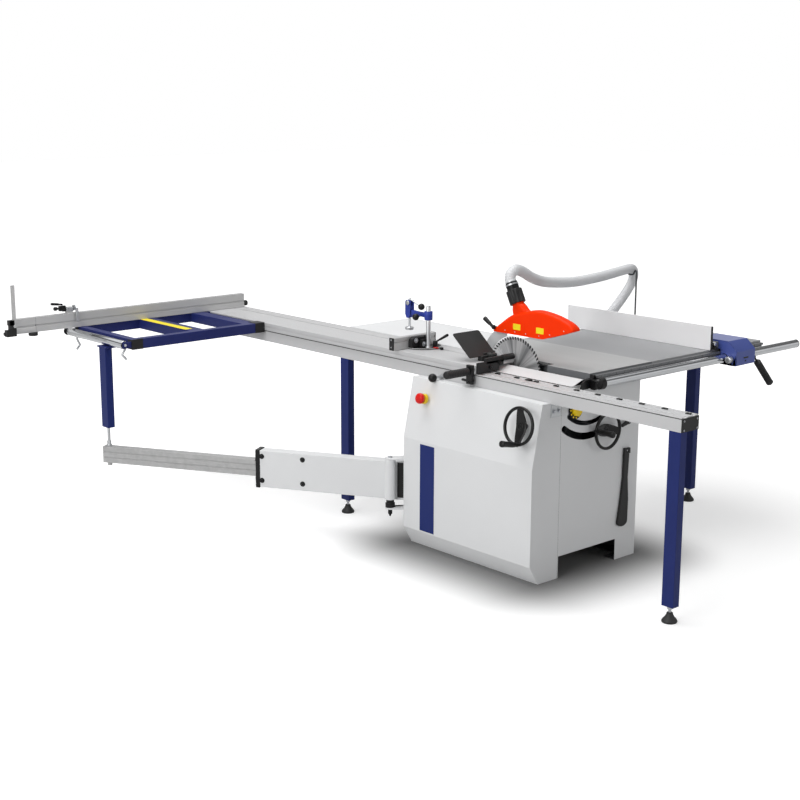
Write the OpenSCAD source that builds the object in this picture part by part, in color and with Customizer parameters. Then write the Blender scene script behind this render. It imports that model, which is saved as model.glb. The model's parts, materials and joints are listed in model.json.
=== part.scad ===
// Sliding table saw: cabinet saw with a tilting, rising arbor, a sliding carriage on a
// long beam, an outrigger frame carried by a telescopic swing arm, and a rip fence on a
// round guide tube. Millimetres, +Z up, +X to the right of the operator, +Y to the rear.
// Sizes are drawn from the cabinet's front left floor corner; place() then moves the
// model so that the origin is the middle of the cabinet's footprint on the floor.

/* [Cabinet] */
// Width of the cabinet at the folds
cab_w = 680; // [640:10:740]
// Depth of the cabinet
cab_d = 775; // [740:5:800]
// Sheet thickness of the cabinet
sheet = 2.5; // [2:0.5:4]
// Height of the lower fold of the side cover
fold_low = 84; // [60:2:100]
// Height of the upper fold of the side cover
fold_high = 502; // [470:2:540]
// How far the side cover draws in at the floor
foot_inset = 51; // [30:1:60]
// How far the side cover draws in at the top
top_inset = 55; // [40:1:60]
// Drop from the working surface to the deck under the beam
deck_drop = 99; // [98:0.5:100]
// Width of the side cover's front flange, from the left fold
flange_w = 171; // [150:1:180]
// Left edge of the toe notch in the front
notch_x = 175; // [173:1:200]
// Width of the toe notch
notch_w = 370; // [300:5:380]
// Height of the toe notch
notch_h = 96; // [60:2:120]
// Width of the floor flanges inside the base
floor_flange = 60; // [50:1:70]
// Diameter of the floor bolt holes
floor_hole_d = 14; // [10:1:18]

/* [Tables] */
// Height of the working surface
table_h = 865; // [865:1:866]
// Depth of the main table
table_d = 770; // [740:5:772]
// Height of the main table casting
table_t = 40; // [36:1:42]
// Thickness of the table plate
plate_t = 12; // [8:1:16]
// Left edge of the main table
table_x = 342; // [341:0.5:343]
// Right edge of the main table
seam_x = 755; // [740:5:770]
// Right edge of the extension table
ext_x = 1570; // [1540:5:1600]
// Height of the folded sheet tables
ext_t = 34; // [24:1:36]
// Length of the rear table
rear_l = 805; // [700:5:850]

/* [Beam and carriage] */
// Left face of the beam
beam_x = 105; // [104:1:108]
// Width of the beam
beam_w = 104; // [100:1:106]
// Height of the beam
beam_h = 58; // [56:1:58]
// Front end of the beam
beam_y = -661; // [-720:1:-640]
// Length of the beam
beam_l = 2860; // [2800:10:2900]
// Left edge of the carriage
car_x = 94; // [90:1:96]
// Width of the carriage
car_w = 242; // [236:1:242]
// Front end of the carriage
car_y = 432; // [425:1:440]
// Length of the carriage
car_l = 2070; // [2040:10:2100]
// Thickness of the carriage's deck
deck_t = 13; // [12:0.5:14]

/* [Blade] */
// Diameter of the saw blade
blade_d = 315; // [300:5:315]
// Width of the cut
kerf = 3.2; // [2.8:0.1:3.2]
// Number of teeth
teeth = 60; // [40:2:72]
// Depth of a tooth
tooth_h = 8; // [5:0.5:9]
// Plane of the blade
blade_x = 348; // [347.5:0.5:348.5]
// Centre of the blade, from the front of the cabinet
blade_y = 437; // [430:1:445]
// Drop from the working surface to the arbor at the highest cut
arbor_drop = 60; // [59:1:62]
// Diameter of the arbor
arbor_d = 30; // [25:1:30]

/* [Rip fence] */
// Left face of the rip fence
fence_x = 1160; // [1000:5:1170]
// Height of the rip fence
fence_h = 110; // [90:1:120]
// Length of the rip fence
fence_l = 867; // [800:1:880]
// Diameter of the guide tube
tube_d = 40; // [36:1:42]
// Right end of the guide tube
tube_end = 1825; // [1780:5:1850]

/* [Outrigger] */
// Left edge of the outrigger frame
out_x = -680; // [-700:1:-660]
// Front edge of the outrigger frame
out_y = 1948; // [1940:1:1960]
// Depth of the outrigger frame
out_d = 540; // [530:1:545]
// Height of the frame's tubes
out_h = 48; // [40:1:50]
// Width of the frame's tubes
out_b = 40; // [36:1:44]
// Diameter of the outrigger's roller
roller_d = 40; // [36:1:42]
// Height of the crosscut fence
cross_h = 72; // [60:1:80]
// Left end of the crosscut fence's main profile
cross_x = -918; // [-940:1:-900]
// Right end of the crosscut fence
cross_end = 320; // [300:1:330]

/* [Swing arm] */
// Height of the arm's centreline
arm_z = 285; // [275:1:295]
// Height of the arm's sleeve
sleeve_h = 176; // [160:2:180]
// Width of the arm's sleeve
sleeve_w = 60; // [56:1:64]
// Height of the arm's telescopic tube
inner_h = 80; // [70:1:90]
// Diameter of the arm's pivot pin
pivot_d = 20; // [16:1:24]

/* [Legs] */
// Depth of a leg's tube
leg_d = 57; // [50:1:60]
// Width of a leg's tube
leg_w = 38; // [36:1:44]
// Height of the levelling feet
foot_h = 66; // [50:1:80]

/* [Dust hose] */
// Outer diameter of the dust hose
hose_d = 50; // [46:1:52]
// Wall of the dust hose
hose_wall = 2.5; // [2:0.5:4]

/* [Hidden] */
$fn = 48;
eps = 0.01;
// Gap left between faces of two pieces that move past each other, or that only rest together
gap = 0.3;
body_white = [0.90, 0.90, 0.90];
frame_blue = [0.16, 0.19, 0.46];
alu = [0.75, 0.76, 0.77];
dark = [0.13, 0.13, 0.14];
steel = [0.60, 0.61, 0.63];
guard_red = [1.0, 0.24, 0.04];

deck_z = table_h - deck_drop;
arbor_z = table_h - arbor_drop;
beam_top = deck_z + 2 + beam_h;
beam_z = deck_z + 2;
beam_r = beam_x + beam_w;
car_r = car_x + car_w;
car_end = car_y + car_l;
table_z = table_h - table_t;
deck_low = table_h - deck_t;
tilt_slope = atan(top_inset / (deck_z - fold_high));
insert_x = blade_x + 3.5;
insert_r = table_x + 43;
insert_y = blade_y - 197;
knife_back = 196;
insert_end = max(table_d - 80, blade_y + knife_back + 12);
fence_y = -11;
tube_y = -45;
tube_z = table_h - 37;
roller_x = out_x - 35;
roller_z = table_h - 23;
post_x = roller_x - 10;
post_y = 2120;
pivot_x = -33;
pivot_y = 840;
arm_offset = 55;
arm_reach = sqrt(pow(post_x - pivot_x, 2) + pow(post_y - pivot_y, 2) - pow(arm_offset, 2));
arm_angle = atan2(post_y - pivot_y, post_x - pivot_x) + asin(arm_offset / sqrt(pow(arm_reach, 2) + pow(arm_offset, 2)));
sleeve_top = arm_z + sleeve_h / 2;
inner_top = arm_z + inner_h / 2;
cross_y = out_y + out_d - 52;

module place() translate([-cab_w / 2, -cab_d / 2, 0]) children();
module block(x0, x1, y0, y1, z0, z1)
    translate([x0, y0, z0]) cube([x1 - x0, y1 - y0, z1 - z0]);
module rod_x(x0, x1, y, z, d)
    translate([x0, y, z]) rotate([0, 90, 0]) cylinder(d = d, h = x1 - x0);
module rod_y(x, y0, y1, z, d)
    translate([x, y0, z]) rotate([-90, 0, 0]) cylinder(d = d, h = y1 - y0);
module rod_z(x, y, z0, z1, d)
    translate([x, y, z0]) cylinder(d = d, h = z1 - z0);
// Extrudes a profile drawn in X and Z along Y
module along_y(y0, y1)
    translate([0, y1, 0]) rotate([90, 0, 0]) linear_extrude(y1 - y0) children();
// Extrudes a profile drawn in Y and Z along X
module along_x(x0, x1)
    translate([x0, 0, 0]) rotate([90, 0, 90]) linear_extrude(x1 - x0) children();

// Cabinet: front, right and rear walls, a deck under the beam, and floor flanges
wall_x = table_x - 120;
bolt_dx = 240;
slot_r1 = 212;
slot_r2 = 268;
// slot bent round the tilt axis, angles from straight down, positive to the right
function spoke(a) = [sin(a), -cos(a)];
function slot_end(r, w, a, from) = [for (b = [15:15:165])
    r * spoke(a) + w / 2 * (cos(from + b) * spoke(a) + sin(from + b) * [cos(a), sin(a)])];
module arc_slot(r, w, a0, a1) polygon(concat(
    [for (i = [0:24]) (r + w / 2) * spoke(a0 + (a1 - a0) * i / 24)], slot_end(r, w, a1, 0),
    [for (i = [24:-1:0]) (r - w / 2) * spoke(a0 + (a1 - a0) * i / 24)], slot_end(r, w, a0, 180)));
module front_profile() {
    difference() {
        polygon([[flange_w + gap, 0], [flange_w + gap, deck_z], [wall_x, deck_z],
            [wall_x, table_z], [cab_w, table_z], [cab_w, 0]]);
        translate([notch_x, -1]) square([notch_w, notch_h + 1]);
    }
}
module cabinet_body() color(body_white) place() {
    difference() {
        along_y(0, sheet) front_profile();
        translate([0, sheet + 1, 0]) rotate([90, 0, 0]) linear_extrude(sheet + 2) translate([blade_x, table_h]) {
            arc_slot(slot_r1, 20, -38, 20);
            arc_slot(slot_r2, 30, -36, 20);
        }
        rod_y(blade_x - 93, -1, sheet + 1, knob_z, 12.1);
        rod_y(lever_x, -1, sheet + 1, lever_z, 10.1);
    }
    along_y(cab_d - sheet, cab_d) difference() {
        front_profile();
        translate([dust_x, dust_z]) circle(d = port_d - 1);
    }
    block(cab_w - sheet, cab_w, sheet, cab_d - sheet, 0, table_z);
    // pin for the push stick
    rod_y(600, -16, eps, 490, 8);
    block(flange_w + gap, wall_x + sheet, sheet, cab_d - sheet, deck_z - sheet, deck_z);
    block(wall_x, wall_x + sheet, sheet, cab_d - sheet, deck_z - sheet, table_z);
    for (y = [sheet, cab_d - sheet - floor_flange]) difference() {
        block(flange_w + gap, cab_w - sheet, y, y + floor_flange, 0, 4);
        block(notch_x, notch_x + notch_w, -1, sheet + floor_flange + 1, -1, 5);
        rod_z(cab_w / 2 + bolt_dx, y + floor_flange / 2, -1, 5, floor_hole_d);
    }
    block(cab_w - sheet - floor_flange, cab_w - sheet, sheet + floor_flange - eps,
        cab_d - sheet - floor_flange + eps, 0, 4);
}

// Side cover: one folded panel with front and rear flanges
module cover_line(t) {
    polygon([[foot_inset + t, 0], [t, fold_low], [t, fold_high], [top_inset + t, deck_z],
        [flange_w, deck_z], [flange_w, 0]]);
}
module side_cover() color([0.93, 0.93, 0.93]) place() {
    difference() {
        along_y(0, cab_d) cover_line(0);
        along_y(sheet, cab_d - sheet) difference() {
            translate([0, -eps]) cover_line(sheet);
            translate([0, deck_z - 3]) square([flange_w + 1, 10]);
        }
        on_slope(66, 671, -10) cylinder(d = 14.1, h = 20);
    }
    for (y = [sheet, cab_d - sheet - floor_flange]) difference() {
        block(foot_inset + sheet, flange_w, y - eps, y + floor_flange, 0, 4);
        rod_z(cab_w / 2 - bolt_dx, y + floor_flange / 2, -1, 5, floor_hole_d);
    }
}

// Seal strip and the angle bracket that carries the beam on the cabinet
module beam_mounts() color(dark) place() {
    block(top_inset + 3, beam_r, 0, cab_d, deck_z, beam_z);
    difference() {
        union() {
            block(beam_x, beam_x + 60, -5, 0, deck_z - 55, beam_z);
            block(beam_x, beam_x + 60, -40, -5 + eps, beam_z - 5, beam_z);
        }
        for (x = [beam_x + 15, beam_x + 45]) rod_y(x, -6, 1, deck_z - 30, 9);
    }
}

// Main table: cast plate with a skirt, ribs and two trunnion seats
guide_r = 130;
module table_outline() difference() {
    translate([table_x, 0]) square([seam_x - table_x, table_d]);
    translate([table_x - 1, insert_y]) square([insert_r - table_x + 1, insert_end - insert_y]);
}
module table_skirt() {
    difference() {
        table_outline();
        translate([table_x + 10, 10]) square([seam_x - table_x - 20, insert_y - 20]);
        translate([insert_r + 10, 10]) square([seam_x - insert_r - 20, table_d - 20]);
        translate([table_x + 10, insert_end + 10]) square([seam_x - table_x - 20, table_d - insert_end - 20]);
    }
    for (i = [1:3]) translate([insert_r + 5, i * table_d / 4 - 4]) square([seam_x - insert_r - 10, 8]);
    translate([(insert_r + seam_x) / 2 - 4, 5]) square([8, table_d - 10]);
}
module main_table() color([0.62, 0.63, 0.64]) place() {
    translate([0, 0, table_h - plate_t]) linear_extrude(plate_t) table_outline();
    translate([0, 0, table_z]) linear_extrude(table_t - plate_t + eps) difference() {
        table_skirt();
        // room for the arbor
        translate([insert_r - 1, blade_y - 46]) square([13, 92]);
    }
    // trunnion seats: half rings hung under the plate, concentric with the top of the cut
    for (y = [trunnion_y1, trunnion_y2]) translate([0, y, 0]) rotate([90, 0, 0])
        linear_extrude(14, center = true) translate([blade_x, table_h]) intersection() {
            difference() {
                circle(r = guide_r + 22, $fn = 96);
                circle(r = guide_r + gap, $fn = 96);
            }
            translate([12, -guide_r - 30]) square([guide_r + 20, guide_r + 30 - plate_t + eps]);
        }
}
trunnion_y1 = 130;
trunnion_y2 = table_d - 45;

// Table insert beside the blade, flush with the table
module table_insert() color(dark) place() difference() {
    block(table_x, insert_r - gap, insert_y + gap, insert_end - gap, table_h - 6, table_h);
    block(table_x - 1, insert_x, insert_y + 35, insert_end - 50, table_h - 7, table_h + 1);
    for (y = [insert_y + 20, insert_end - 20]) {
        rod_z(insert_r - 14, y, table_h - 7, table_h + 1, 5);
        translate([insert_r - 14, y, table_h - 2.5]) cylinder(d1 = 5, d2 = 10.2, h = 2.6);
    }
}

// Folded sheet tables
module folded_table(x0, x1, y0, y1) {
    difference() {
        block(x0, x1, y0, y1, table_h - ext_t, table_h);
        block(x0 + 2, x1 - 2, y0 + 2, y1 - 2, table_h - ext_t - 1, table_h - 2);
    }
    for (y = [y0 + (y1 - y0) / 3, y0 + 2 * (y1 - y0) / 3])
        block(x0 + 1, x1 - 1, y - 15, y + 15, table_h - ext_t + 4, table_h - 1.9);
}
module extension_table() color([0.70, 0.71, 0.72]) place()
    folded_table(seam_x, ext_x, 0, table_d);
module rear_table() color([0.90, 0.90, 0.90]) place() {
    folded_table(table_x + 4, seam_x, table_d, table_d + rear_l);
    // stays down to the cabinet's rear wall
    for (x = [table_x + 60, cab_w - 60]) {
        hull() {
            block(x - 12, x + 12, table_d + rear_l / 3 - 15, table_d + rear_l / 3 + 15, table_h - ext_t - 2,
                table_h - ext_t + 4);
            block(x - 12, x + 12, cab_d, cab_d + 4, 440, 500);
        }
    }
}

// Beam: extruded profile with a track, a side groove and chambers
module beam() color(alu) place() difference() {
    beam_profile();
    rod_x(beam_x - 1, beam_x + 6, lock_y, beam_z + 18, 10.1);
}
module beam_profile() {
    along_y(beam_y, beam_y + beam_l) difference() {
        translate([beam_x, beam_z]) square([beam_w, beam_h]);
        translate([beam_x - 1, beam_top - 7]) square([4, 3]);
        translate([beam_x + 10, beam_top - 4]) square([26, 5]);
        translate([beam_x + 4, beam_z + 4]) square([beam_w / 2 - 6, beam_h - 16]);
        translate([beam_x + beam_w / 2 + 2, beam_z + 4]) square([beam_w / 2 - 6, beam_h - 16]);
        translate([beam_x + 70, beam_top - 3]) square([14, 4]);
    }
}
module beam_end_caps() color(dark) place()
    for (y = [beam_y - 4, beam_y + beam_l])
        block(beam_x, beam_r, y, y + 4, beam_z, beam_top - 4);

// Legs: rectangular tubes, two under the beam and one under the extension table
leg_places = [[beam_x, beam_y, beam_z], [beam_x, 1301, beam_z], [ext_x - leg_w - 8, 330, table_h - 2]];
module support_legs() color(frame_blue) place() for (p = leg_places) {
    translate([p[0], p[1], 0]) difference() {
        block(0, leg_w, 0, leg_d, foot_h, p[2]);
        block(2, leg_w - 2, 2, leg_d - 2, foot_h + 5, p[2] - 6);
        rod_z(leg_w / 2, leg_d / 2, foot_h - 1, foot_h + 6, 12.2);
    }
}
module levelling_feet() color(dark) place() for (p = leg_places)
    translate([p[0] + leg_w / 2, p[1] + leg_d / 2, 0]) {
        rotate_extrude() polygon([[0, 0], [25, 0], [26, 4], [24, 8], [12, 14], [9, 20], [9, 30], [0, 30]]);
        cylinder(d = 12, h = foot_h + 30);
        translate([0, 0, foot_h - 12]) cylinder(d = 22, h = 12 - gap, $fn = 6);
    }

// White cover that closes the gap between the beam and the table
module dust_cover() color([0.95, 0.95, 0.95]) place()
    along_y(-5, cab_d) polygon([[wall_x - 2, table_z], [beam_r + 29, table_z], [table_x - 52, table_h - 21],
        [table_x - 44, table_h - 21],
        [table_x - 44, table_h - 19], [table_x - 53, table_h - 19], [beam_r + 28, table_z + 2], [wall_x - 2, table_z + 2]]);

// Guide tube, its two sockets and the scale rail on the table's front edge
socket_x = [table_x + 6, ext_x - 90];
module guide_tube() color([0.80, 0.80, 0.82]) place() difference() {
    rod_x(table_x + 20, tube_end, tube_y, tube_z, tube_d);
    rod_x(table_x + 19, tube_end + 1, tube_y, tube_z, tube_d - 6);
}
module tube_sockets() color(dark) place() {
    difference() {
        union() {
            rod_x(socket_x[0] - 4, socket_x[0] + 42, tube_y, tube_z, tube_d + 14);
            block(socket_x[0] - 4, socket_x[0] + 30, tube_y, -22, tube_z - 22, tube_z + 10);
        }
        rod_x(table_x + 20 - eps, tube_end + 1, tube_y, tube_z, tube_d);
        block(table_x - 1, table_x + 60, -22, 10, tube_z - 40, tube_z + 40);
    }
    difference() {
        block(socket_x[1], socket_x[1] + 30, tube_y + 14, -22, tube_z - 12, tube_z + 12);
        rod_x(socket_x[1] - 1, socket_x[1] + 31, tube_y, tube_z, tube_d);
    }
}
module scale_rail() color(alu) place() along_x(table_x, ext_x - 10) difference() {
    translate([-22, table_h - 52]) square([22, 44]);
    translate([-23, table_h - 26]) square([8, 8]);
    translate([-19, table_h - 48]) square([15, 18]);
}

// Hose hanger: one bent steel rod on the extension table's rear edge
hanger_x = 1545;
hanger_y = 742;
hanger_top = table_h + 260;
function hanger_path() = [for (q = [[0, table_h + 2], [0, table_h + 75], [0, table_h + 175],
    [0, hanger_top - 15], [2, hanger_top - 3], [8, hanger_top],
    [14, hanger_top - 9], [22, hanger_top - 20], [36, hanger_top - 22.5], [54, hanger_top - 20], [66, hanger_top - 9],
    [71, hanger_top + 5]]) [hanger_x, hanger_y + q[0], q[1]]];
module hose_hanger() color(dark) place() {
    c = smooth(hanger_path(), 4);
    swept(c, [for (v = c) 4.4], 12);
    rod_z(hanger_x, hanger_y, table_h, table_h + 4, 36);
    rod_z(hanger_x, hanger_y, table_h + 4 - eps, table_h + 16, 14);
}

// Dust port: flanged spigot low on the cabinet's rear wall
dust_x = 520;
dust_z = table_h - 565;
port_d = 100;
module dust_port() color(dark) place() {
    difference() {
        union() {
            rod_y(dust_x, cab_d, cab_d + 4, dust_z, port_d + 40);
            rod_y(dust_x, cab_d, cab_d + 70, dust_z, port_d);
            // branch for the guard's hose
            block(dust_x - 30, dust_x + 30, cab_d, cab_d + 4, dust_z, dust_z + 130);
            rod_y(dust_x, cab_d, cab_d + 30, dust_z + 130, hose_d + 20);
        }
        rod_y(dust_x, cab_d - 1, cab_d + 71, dust_z, port_d - 6);
        rod_y(dust_x, cab_d + 5, cab_d + 31, dust_z + 130, hose_d - 6);
    }
}

// Arm bracket: wall plate, two ears and the pivot pin
ear_top = sleeve_top + 19;
ear_low = 160;
module arm_bracket() color(body_white) place() {
    block(12, 112, cab_d, cab_d + 6, ear_low - 10, ear_top + 18);
    for (z = [ear_top, ear_low]) hull() {
        block(14, 100, cab_d, cab_d + 6, z, z + 8);
        translate([pivot_x, pivot_y, z]) cylinder(r = 24, h = 8, $fn = 32);
    }
    rod_z(pivot_x, pivot_y, ear_low - 24, ear_top + 14, pivot_d);
    translate([pivot_x, pivot_y, ear_low - 36]) cylinder(d1 = 6, d2 = pivot_d - 4, h = 13);
    translate([pivot_x, pivot_y, ear_low + 8]) cylinder(d = 44, h = 20);
    translate([pivot_x, pivot_y, ear_low + 28 - eps]) cylinder(d = 36, h = arm_z - 80 - gap - ear_low - 28);
}

// Everything fixed square to the sloping upper side cover
module on_slope(y, z, out = 0)
    translate([top_inset * (z - fold_high) / (deck_z - fold_high), y, z])
        rotate([0, -(90 - tilt_slope), 0]) translate([0, 0, out]) children();
button_z = table_h - 178;
module stop_button_base() color([0.95, 0.78, 0.05]) place() on_slope(676, button_z) difference() {
    cylinder(d1 = 46, d2 = 40, h = 14);
    translate([0, 0, -1]) cylinder(d = 20.15, h = 16);
}
module stop_button() color([0.85, 0.08, 0.06]) place() on_slope(676, button_z, 6) {
    cylinder(d = 20, h = 16);
    translate([0, 0, 16]) rotate_extrude() polygon([[0, 0], [17, 0], [20, 4], [20, 9], [17, 13], [10, 16],
        [0, 17]]);
}

// Handwheel: rim, hub, a broad spoke and a cranked grip
module handwheel(d, reach) {
    rotate_extrude($fn = 64) translate([d / 2 - 6, 32]) circle(d = 12, $fn = 24);
    difference() {
        union() {
            translate([0, 0, 3]) cylinder(d = 34, h = 36);
            translate([-16, -d / 2 + 6, 26]) cube([32, d - 12, 10]);
        }
        translate([0, 0, -1]) cylinder(d = 16, h = 30);
    }
    translate([0, -d / 2 + 6, 30]) cylinder(d = 10, h = 18);
    translate([0, -d / 2 + 6, 46]) rotate_extrude()
        polygon([[0, 0], [7, 0], [10, 10], [9, 40], [11, 60], [8, 66], [0, 66]]);
    // shaft through the panel
    translate([0, 0, -reach]) cylinder(d = 14, h = reach + 30);
}
wheel_d = 165;
module side_handwheel() color(dark) place() on_slope(66, 671, 0.3) rotate([0, 0, 35]) handwheel(wheel_d, 30);
front_wheel_x = blade_x + slot_r2 * sin(18);
front_wheel_z = table_h - slot_r2 * cos(18);
module front_handwheel() color(dark) place()
    translate([front_wheel_x, -2, front_wheel_z]) rotate([90, 0, 0]) rotate([0, 0, 60]) handwheel(wheel_d, 60);
module tilt_lock_knob() color([0.90, 0.78, 0.10]) place() translate([blade_x - 93, 0, knob_z])
    rotate([90, 0, 0]) {
    translate([0, 0, -12]) cylinder(d = 12, h = 14);
    translate([0, 0, gap]) cylinder(d = 84, h = 8);
    for (a = [0:30:330]) rotate([0, 0, a]) translate([36, 0, gap]) cylinder(d = 9, h = 10);
    translate([0, 0, 8]) rotate_extrude() polygon([[0, 0], [27, 0], [27, 12], [22, 16], [0, 16]]);
}
lever_x = 596;
lever_z = table_h - 243;
knob_z = table_h - 140;
module height_lock_lever() color(dark) place() translate([lever_x, 0, lever_z]) rotate([90, 0, 0]) {
    translate([0, 0, -14]) cylinder(d = 10, h = 16);
    translate([0, 0, gap]) cylinder(d = 26, h = 10);
    translate([0, 0, 10]) rotate([0, 0, 195]) hull() {
        cylinder(d = 22, h = 6);
        translate([45, 0, 0]) cylinder(d = 16, h = 6);
    }
    translate([0, 0, 15]) cylinder(d = 13, h = 6, $fn = 6);
}

// Push stick hung on the front, right of the toe notch
module push_stick() color(dark) place() translate([600, -1, 490]) rotate([90, 0, 0]) linear_extrude(12)
    difference() {
    union() {
        hull() {
            translate([-8, -20]) circle(d = 34);
            translate([-14, -120]) circle(d = 26);
        }
        hull() {
            translate([-14, -120]) circle(d = 26);
            translate([-20, -220]) circle(d = 34);
        }
        hull() {
            translate([-20, -220]) circle(d = 34);
            translate([-26, -318]) circle(d = 44);
        }
        translate([-24, -20]) square([14, 34]);
        translate([-2, -14]) square([18, 26]);
    }
    circle(d = 8.1);
}

// Spring pin that locks the carriage, on the beam's left face
lock_y = 648;
module carriage_lock_pin() color(dark) place() translate([beam_x - 60, lock_y, beam_z + 18]) rotate([0, 90, 0])
    rotate_extrude() polygon(concat([for (a = [0:12:156]) 17 * [sin(a), -cos(a)]], [[5, 17], [5, 72], [0, 72]]));

// Tilting cradle: two trunnion plates, tie bars and the lift guides
lift_x = blade_x + 100;
lift_y = [333, 542];
module saw_cradle() color([0.45, 0.46, 0.48]) place() {
    // segments that turn in the table's seats
    for (y = [trunnion_y1, trunnion_y2]) translate([0, y, 0]) rotate([90, 0, 0])
        linear_extrude(14 + eps, center = true) intersection() {
            translate([blade_x, table_h]) circle(r = guide_r, $fn = 96);
            translate([blade_x + 12, table_h - guide_r]) square([guide_r, guide_r - 46]);
        }
    // end plates beside the segments
    for (y = [trunnion_y1 + 7, trunnion_y2 - 19]) along_y(y, y + 12) difference() {
        translate([blade_x + 12, table_h - 338]) square([100, 258]);
        translate([blade_x + 60, table_h - 180]) circle(d = 50);
    }
    block(blade_x + 24, blade_x + 48, trunnion_y1 + 7, trunnion_y2 - 7, table_h - 325, table_h - 301);
    // bars that carry the lift columns, clear of the arbor and the motor's foot
    for (z = [table_h - 338, table_h - 104]) {
        block(lift_x - 12, lift_x + 12, trunnion_y1 + 18, lift_y[0] + 12, z, z + 24);
        block(lift_x - 12, lift_x + 12, lift_y[1] - 12, trunnion_y2 - 18, z, z + 24);
    }
    for (y = lift_y) rod_z(lift_x, y, table_h - 330, table_h - 90, 20);
    // bearing block of the height screw, behind the front handwheel
    difference() {
        block(front_wheel_x - 16, front_wheel_x + 16, 20, trunnion_y1 + 8, front_wheel_z - 16,
            front_wheel_z + 16);
        rod_y(front_wheel_x, 19, 70, front_wheel_z, 14.1);
    }
}

// Arbor carrier: rises on the cradle and holds the arbor's bearing
module arbor_carrier() color([0.50, 0.51, 0.53]) place() {
    difference() {
        union() {
            rod_x(blade_x + 10, blade_x + 92, blade_y, arbor_z, 64);
            block(blade_x + 64, blade_x + 82, lift_y[0] + 12, lift_y[1] - 12, arbor_z - 260, arbor_z - 60);
            block(blade_x + 64, blade_x + 82, blade_y - 30, blade_y + 30, arbor_z - 70, arbor_z - 10);
            for (y = lift_y) {
                rod_z(lift_x, y, arbor_z - 154, arbor_z - 60, 36);
                block(blade_x + 70, lift_x - 6, y - 14, y + 14, arbor_z - 154, arbor_z - 60);
            }
            block(blade_x + 6, blade_x + 62, blade_y + 150, blade_y + 176, arbor_z - 60, arbor_z - 40);
            block(blade_x + 56, blade_x + 76, blade_y + 60, blade_y + 176, arbor_z - 60, arbor_z - 40);
        }
        rod_x(blade_x - 1, blade_x + 95, blade_y, arbor_z, arbor_d + 0.1);
        for (y = lift_y) rod_z(lift_x, y, arbor_z - 161, arbor_z - 59, 20.1);
    }
    // seat of the riving knife
    block(blade_x + 1.5, blade_x + 8, blade_y + 160, blade_y + 190, arbor_z - 90, arbor_z - 30);
}
module arbor_shaft() color(steel) place() {
    rod_x(blade_x - 10, blade_x + 132, blade_y, arbor_z, arbor_d);
    rod_x(blade_x - 8, blade_x - kerf / 2, blade_y, arbor_z, 56);
    rod_x(blade_x + kerf / 2, blade_x + 9.7, blade_y, arbor_z, 62);
    rod_x(blade_x - 12, blade_x - 7, blade_y, arbor_z, 36);
    pulley(blade_x + 114, 70, blade_y, arbor_z);
}
module pulley(x, d, y, z) translate([x, y, z]) rotate([0, 90, 0]) rotate_extrude()
    polygon([[10, 0], [d / 2, 0], [d / 2, 2], [d / 2 - 7, 6], [d / 2 - 7, 12], [d / 2, 16], [d / 2, 18],
        [10, 18]]);
function tooth_points() = [for (i = [0:teeth - 1]) each [
    let (a = i * 360 / teeth) blade_d / 2 * [cos(a), sin(a)],
    let (a = (i + 0.18) * 360 / teeth) (blade_d / 2 - tooth_h) * [cos(a), sin(a)],
    let (a = (i + 0.42) * 360 / teeth) (blade_d / 2 - tooth_h) * [cos(a), sin(a)],
    let (a = (i + 0.62) * 360 / teeth) (blade_d / 2 - 2.2) * [cos(a), sin(a)]]];
module saw_blade() color([0.78, 0.79, 0.80]) place() translate([blade_x - kerf / 2, blade_y, arbor_z])
    rotate([90, 0, 90])
    linear_extrude(kerf) difference() {
        polygon(tooth_points());
        circle(d = arbor_d);
        for (a = [45:90:315]) rotate(a) {
            translate([blade_d / 2 - tooth_h - 28, -1]) square([40, 2]);
            translate([blade_d / 2 - tooth_h - 28, 0]) circle(d = 7);
        }
    }

// Motor below the arbor, on the carrier, with its pulley and belt
motor_y = blade_y - 60;
motor_z = arbor_z - 190;
motor_x = blade_x + 136;
module motor() color([0.30, 0.32, 0.35]) place() {
    difference() {
        union() {
            rod_x(motor_x, motor_x + 160, motor_y, motor_z, 140);
            for (a = [0:20:340]) translate([motor_x + 12, motor_y, motor_z]) rotate([a, 0, 0])
                translate([0, -1.5, 60]) cube([130, 3, 17]);
            rod_x(motor_x + 160 - eps, motor_x + 184, motor_y, motor_z, 128);
            // foot on the carrier
            block(blade_x + 82, motor_x + 30, motor_y - 22, motor_y + 26, motor_z - 72, motor_z - 48);
        }
        rod_x(motor_x - 1, motor_x + 40, motor_y, motor_z, 20.2);
    }
}
module motor_pulley() color(steel) place() {
    pulley(blade_x + 114, 90, motor_y, motor_z);
    rod_x(blade_x + 112, motor_x + 30, motor_y, motor_z, 20);
}
module drive_belt() color(dark) place() translate([blade_x + 120.3, 0, 0]) rotate([90, 0, 90])
    linear_extrude(5.4) difference() {
    hull() {
        translate([blade_y, arbor_z]) circle(r = 33.6);
        translate([motor_y, motor_z]) circle(r = 43.6);
    }
    hull() {
        translate([blade_y, arbor_z]) circle(r = 28.3);
        translate([motor_y, motor_z]) circle(r = 38.3);
    }
}

// Riving knife: curved plate behind the blade that carries the guard
knife_t = 2.5;
module riving_knife() color([0.80, 0.81, 0.82]) place() translate([blade_x - knife_t / 2, 0, 0])
    rotate([90, 0, 90])
    linear_extrude(knife_t) difference() {
        intersection() {
            translate([blade_y, arbor_z]) circle(r = 212, $fn = 96);
            polygon([[blade_y + 90, arbor_z - 90], [blade_y + knife_back, arbor_z - 90],
                [blade_y + knife_back, arbor_z + 60],
                [blade_y + 150, table_h + 147], [blade_y + 40, table_h + 147], [blade_y + 70, arbor_z + 100]]);
        }
        translate([blade_y, arbor_z]) circle(r = blade_d / 2 + 5, $fn = 96);
    }

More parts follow.
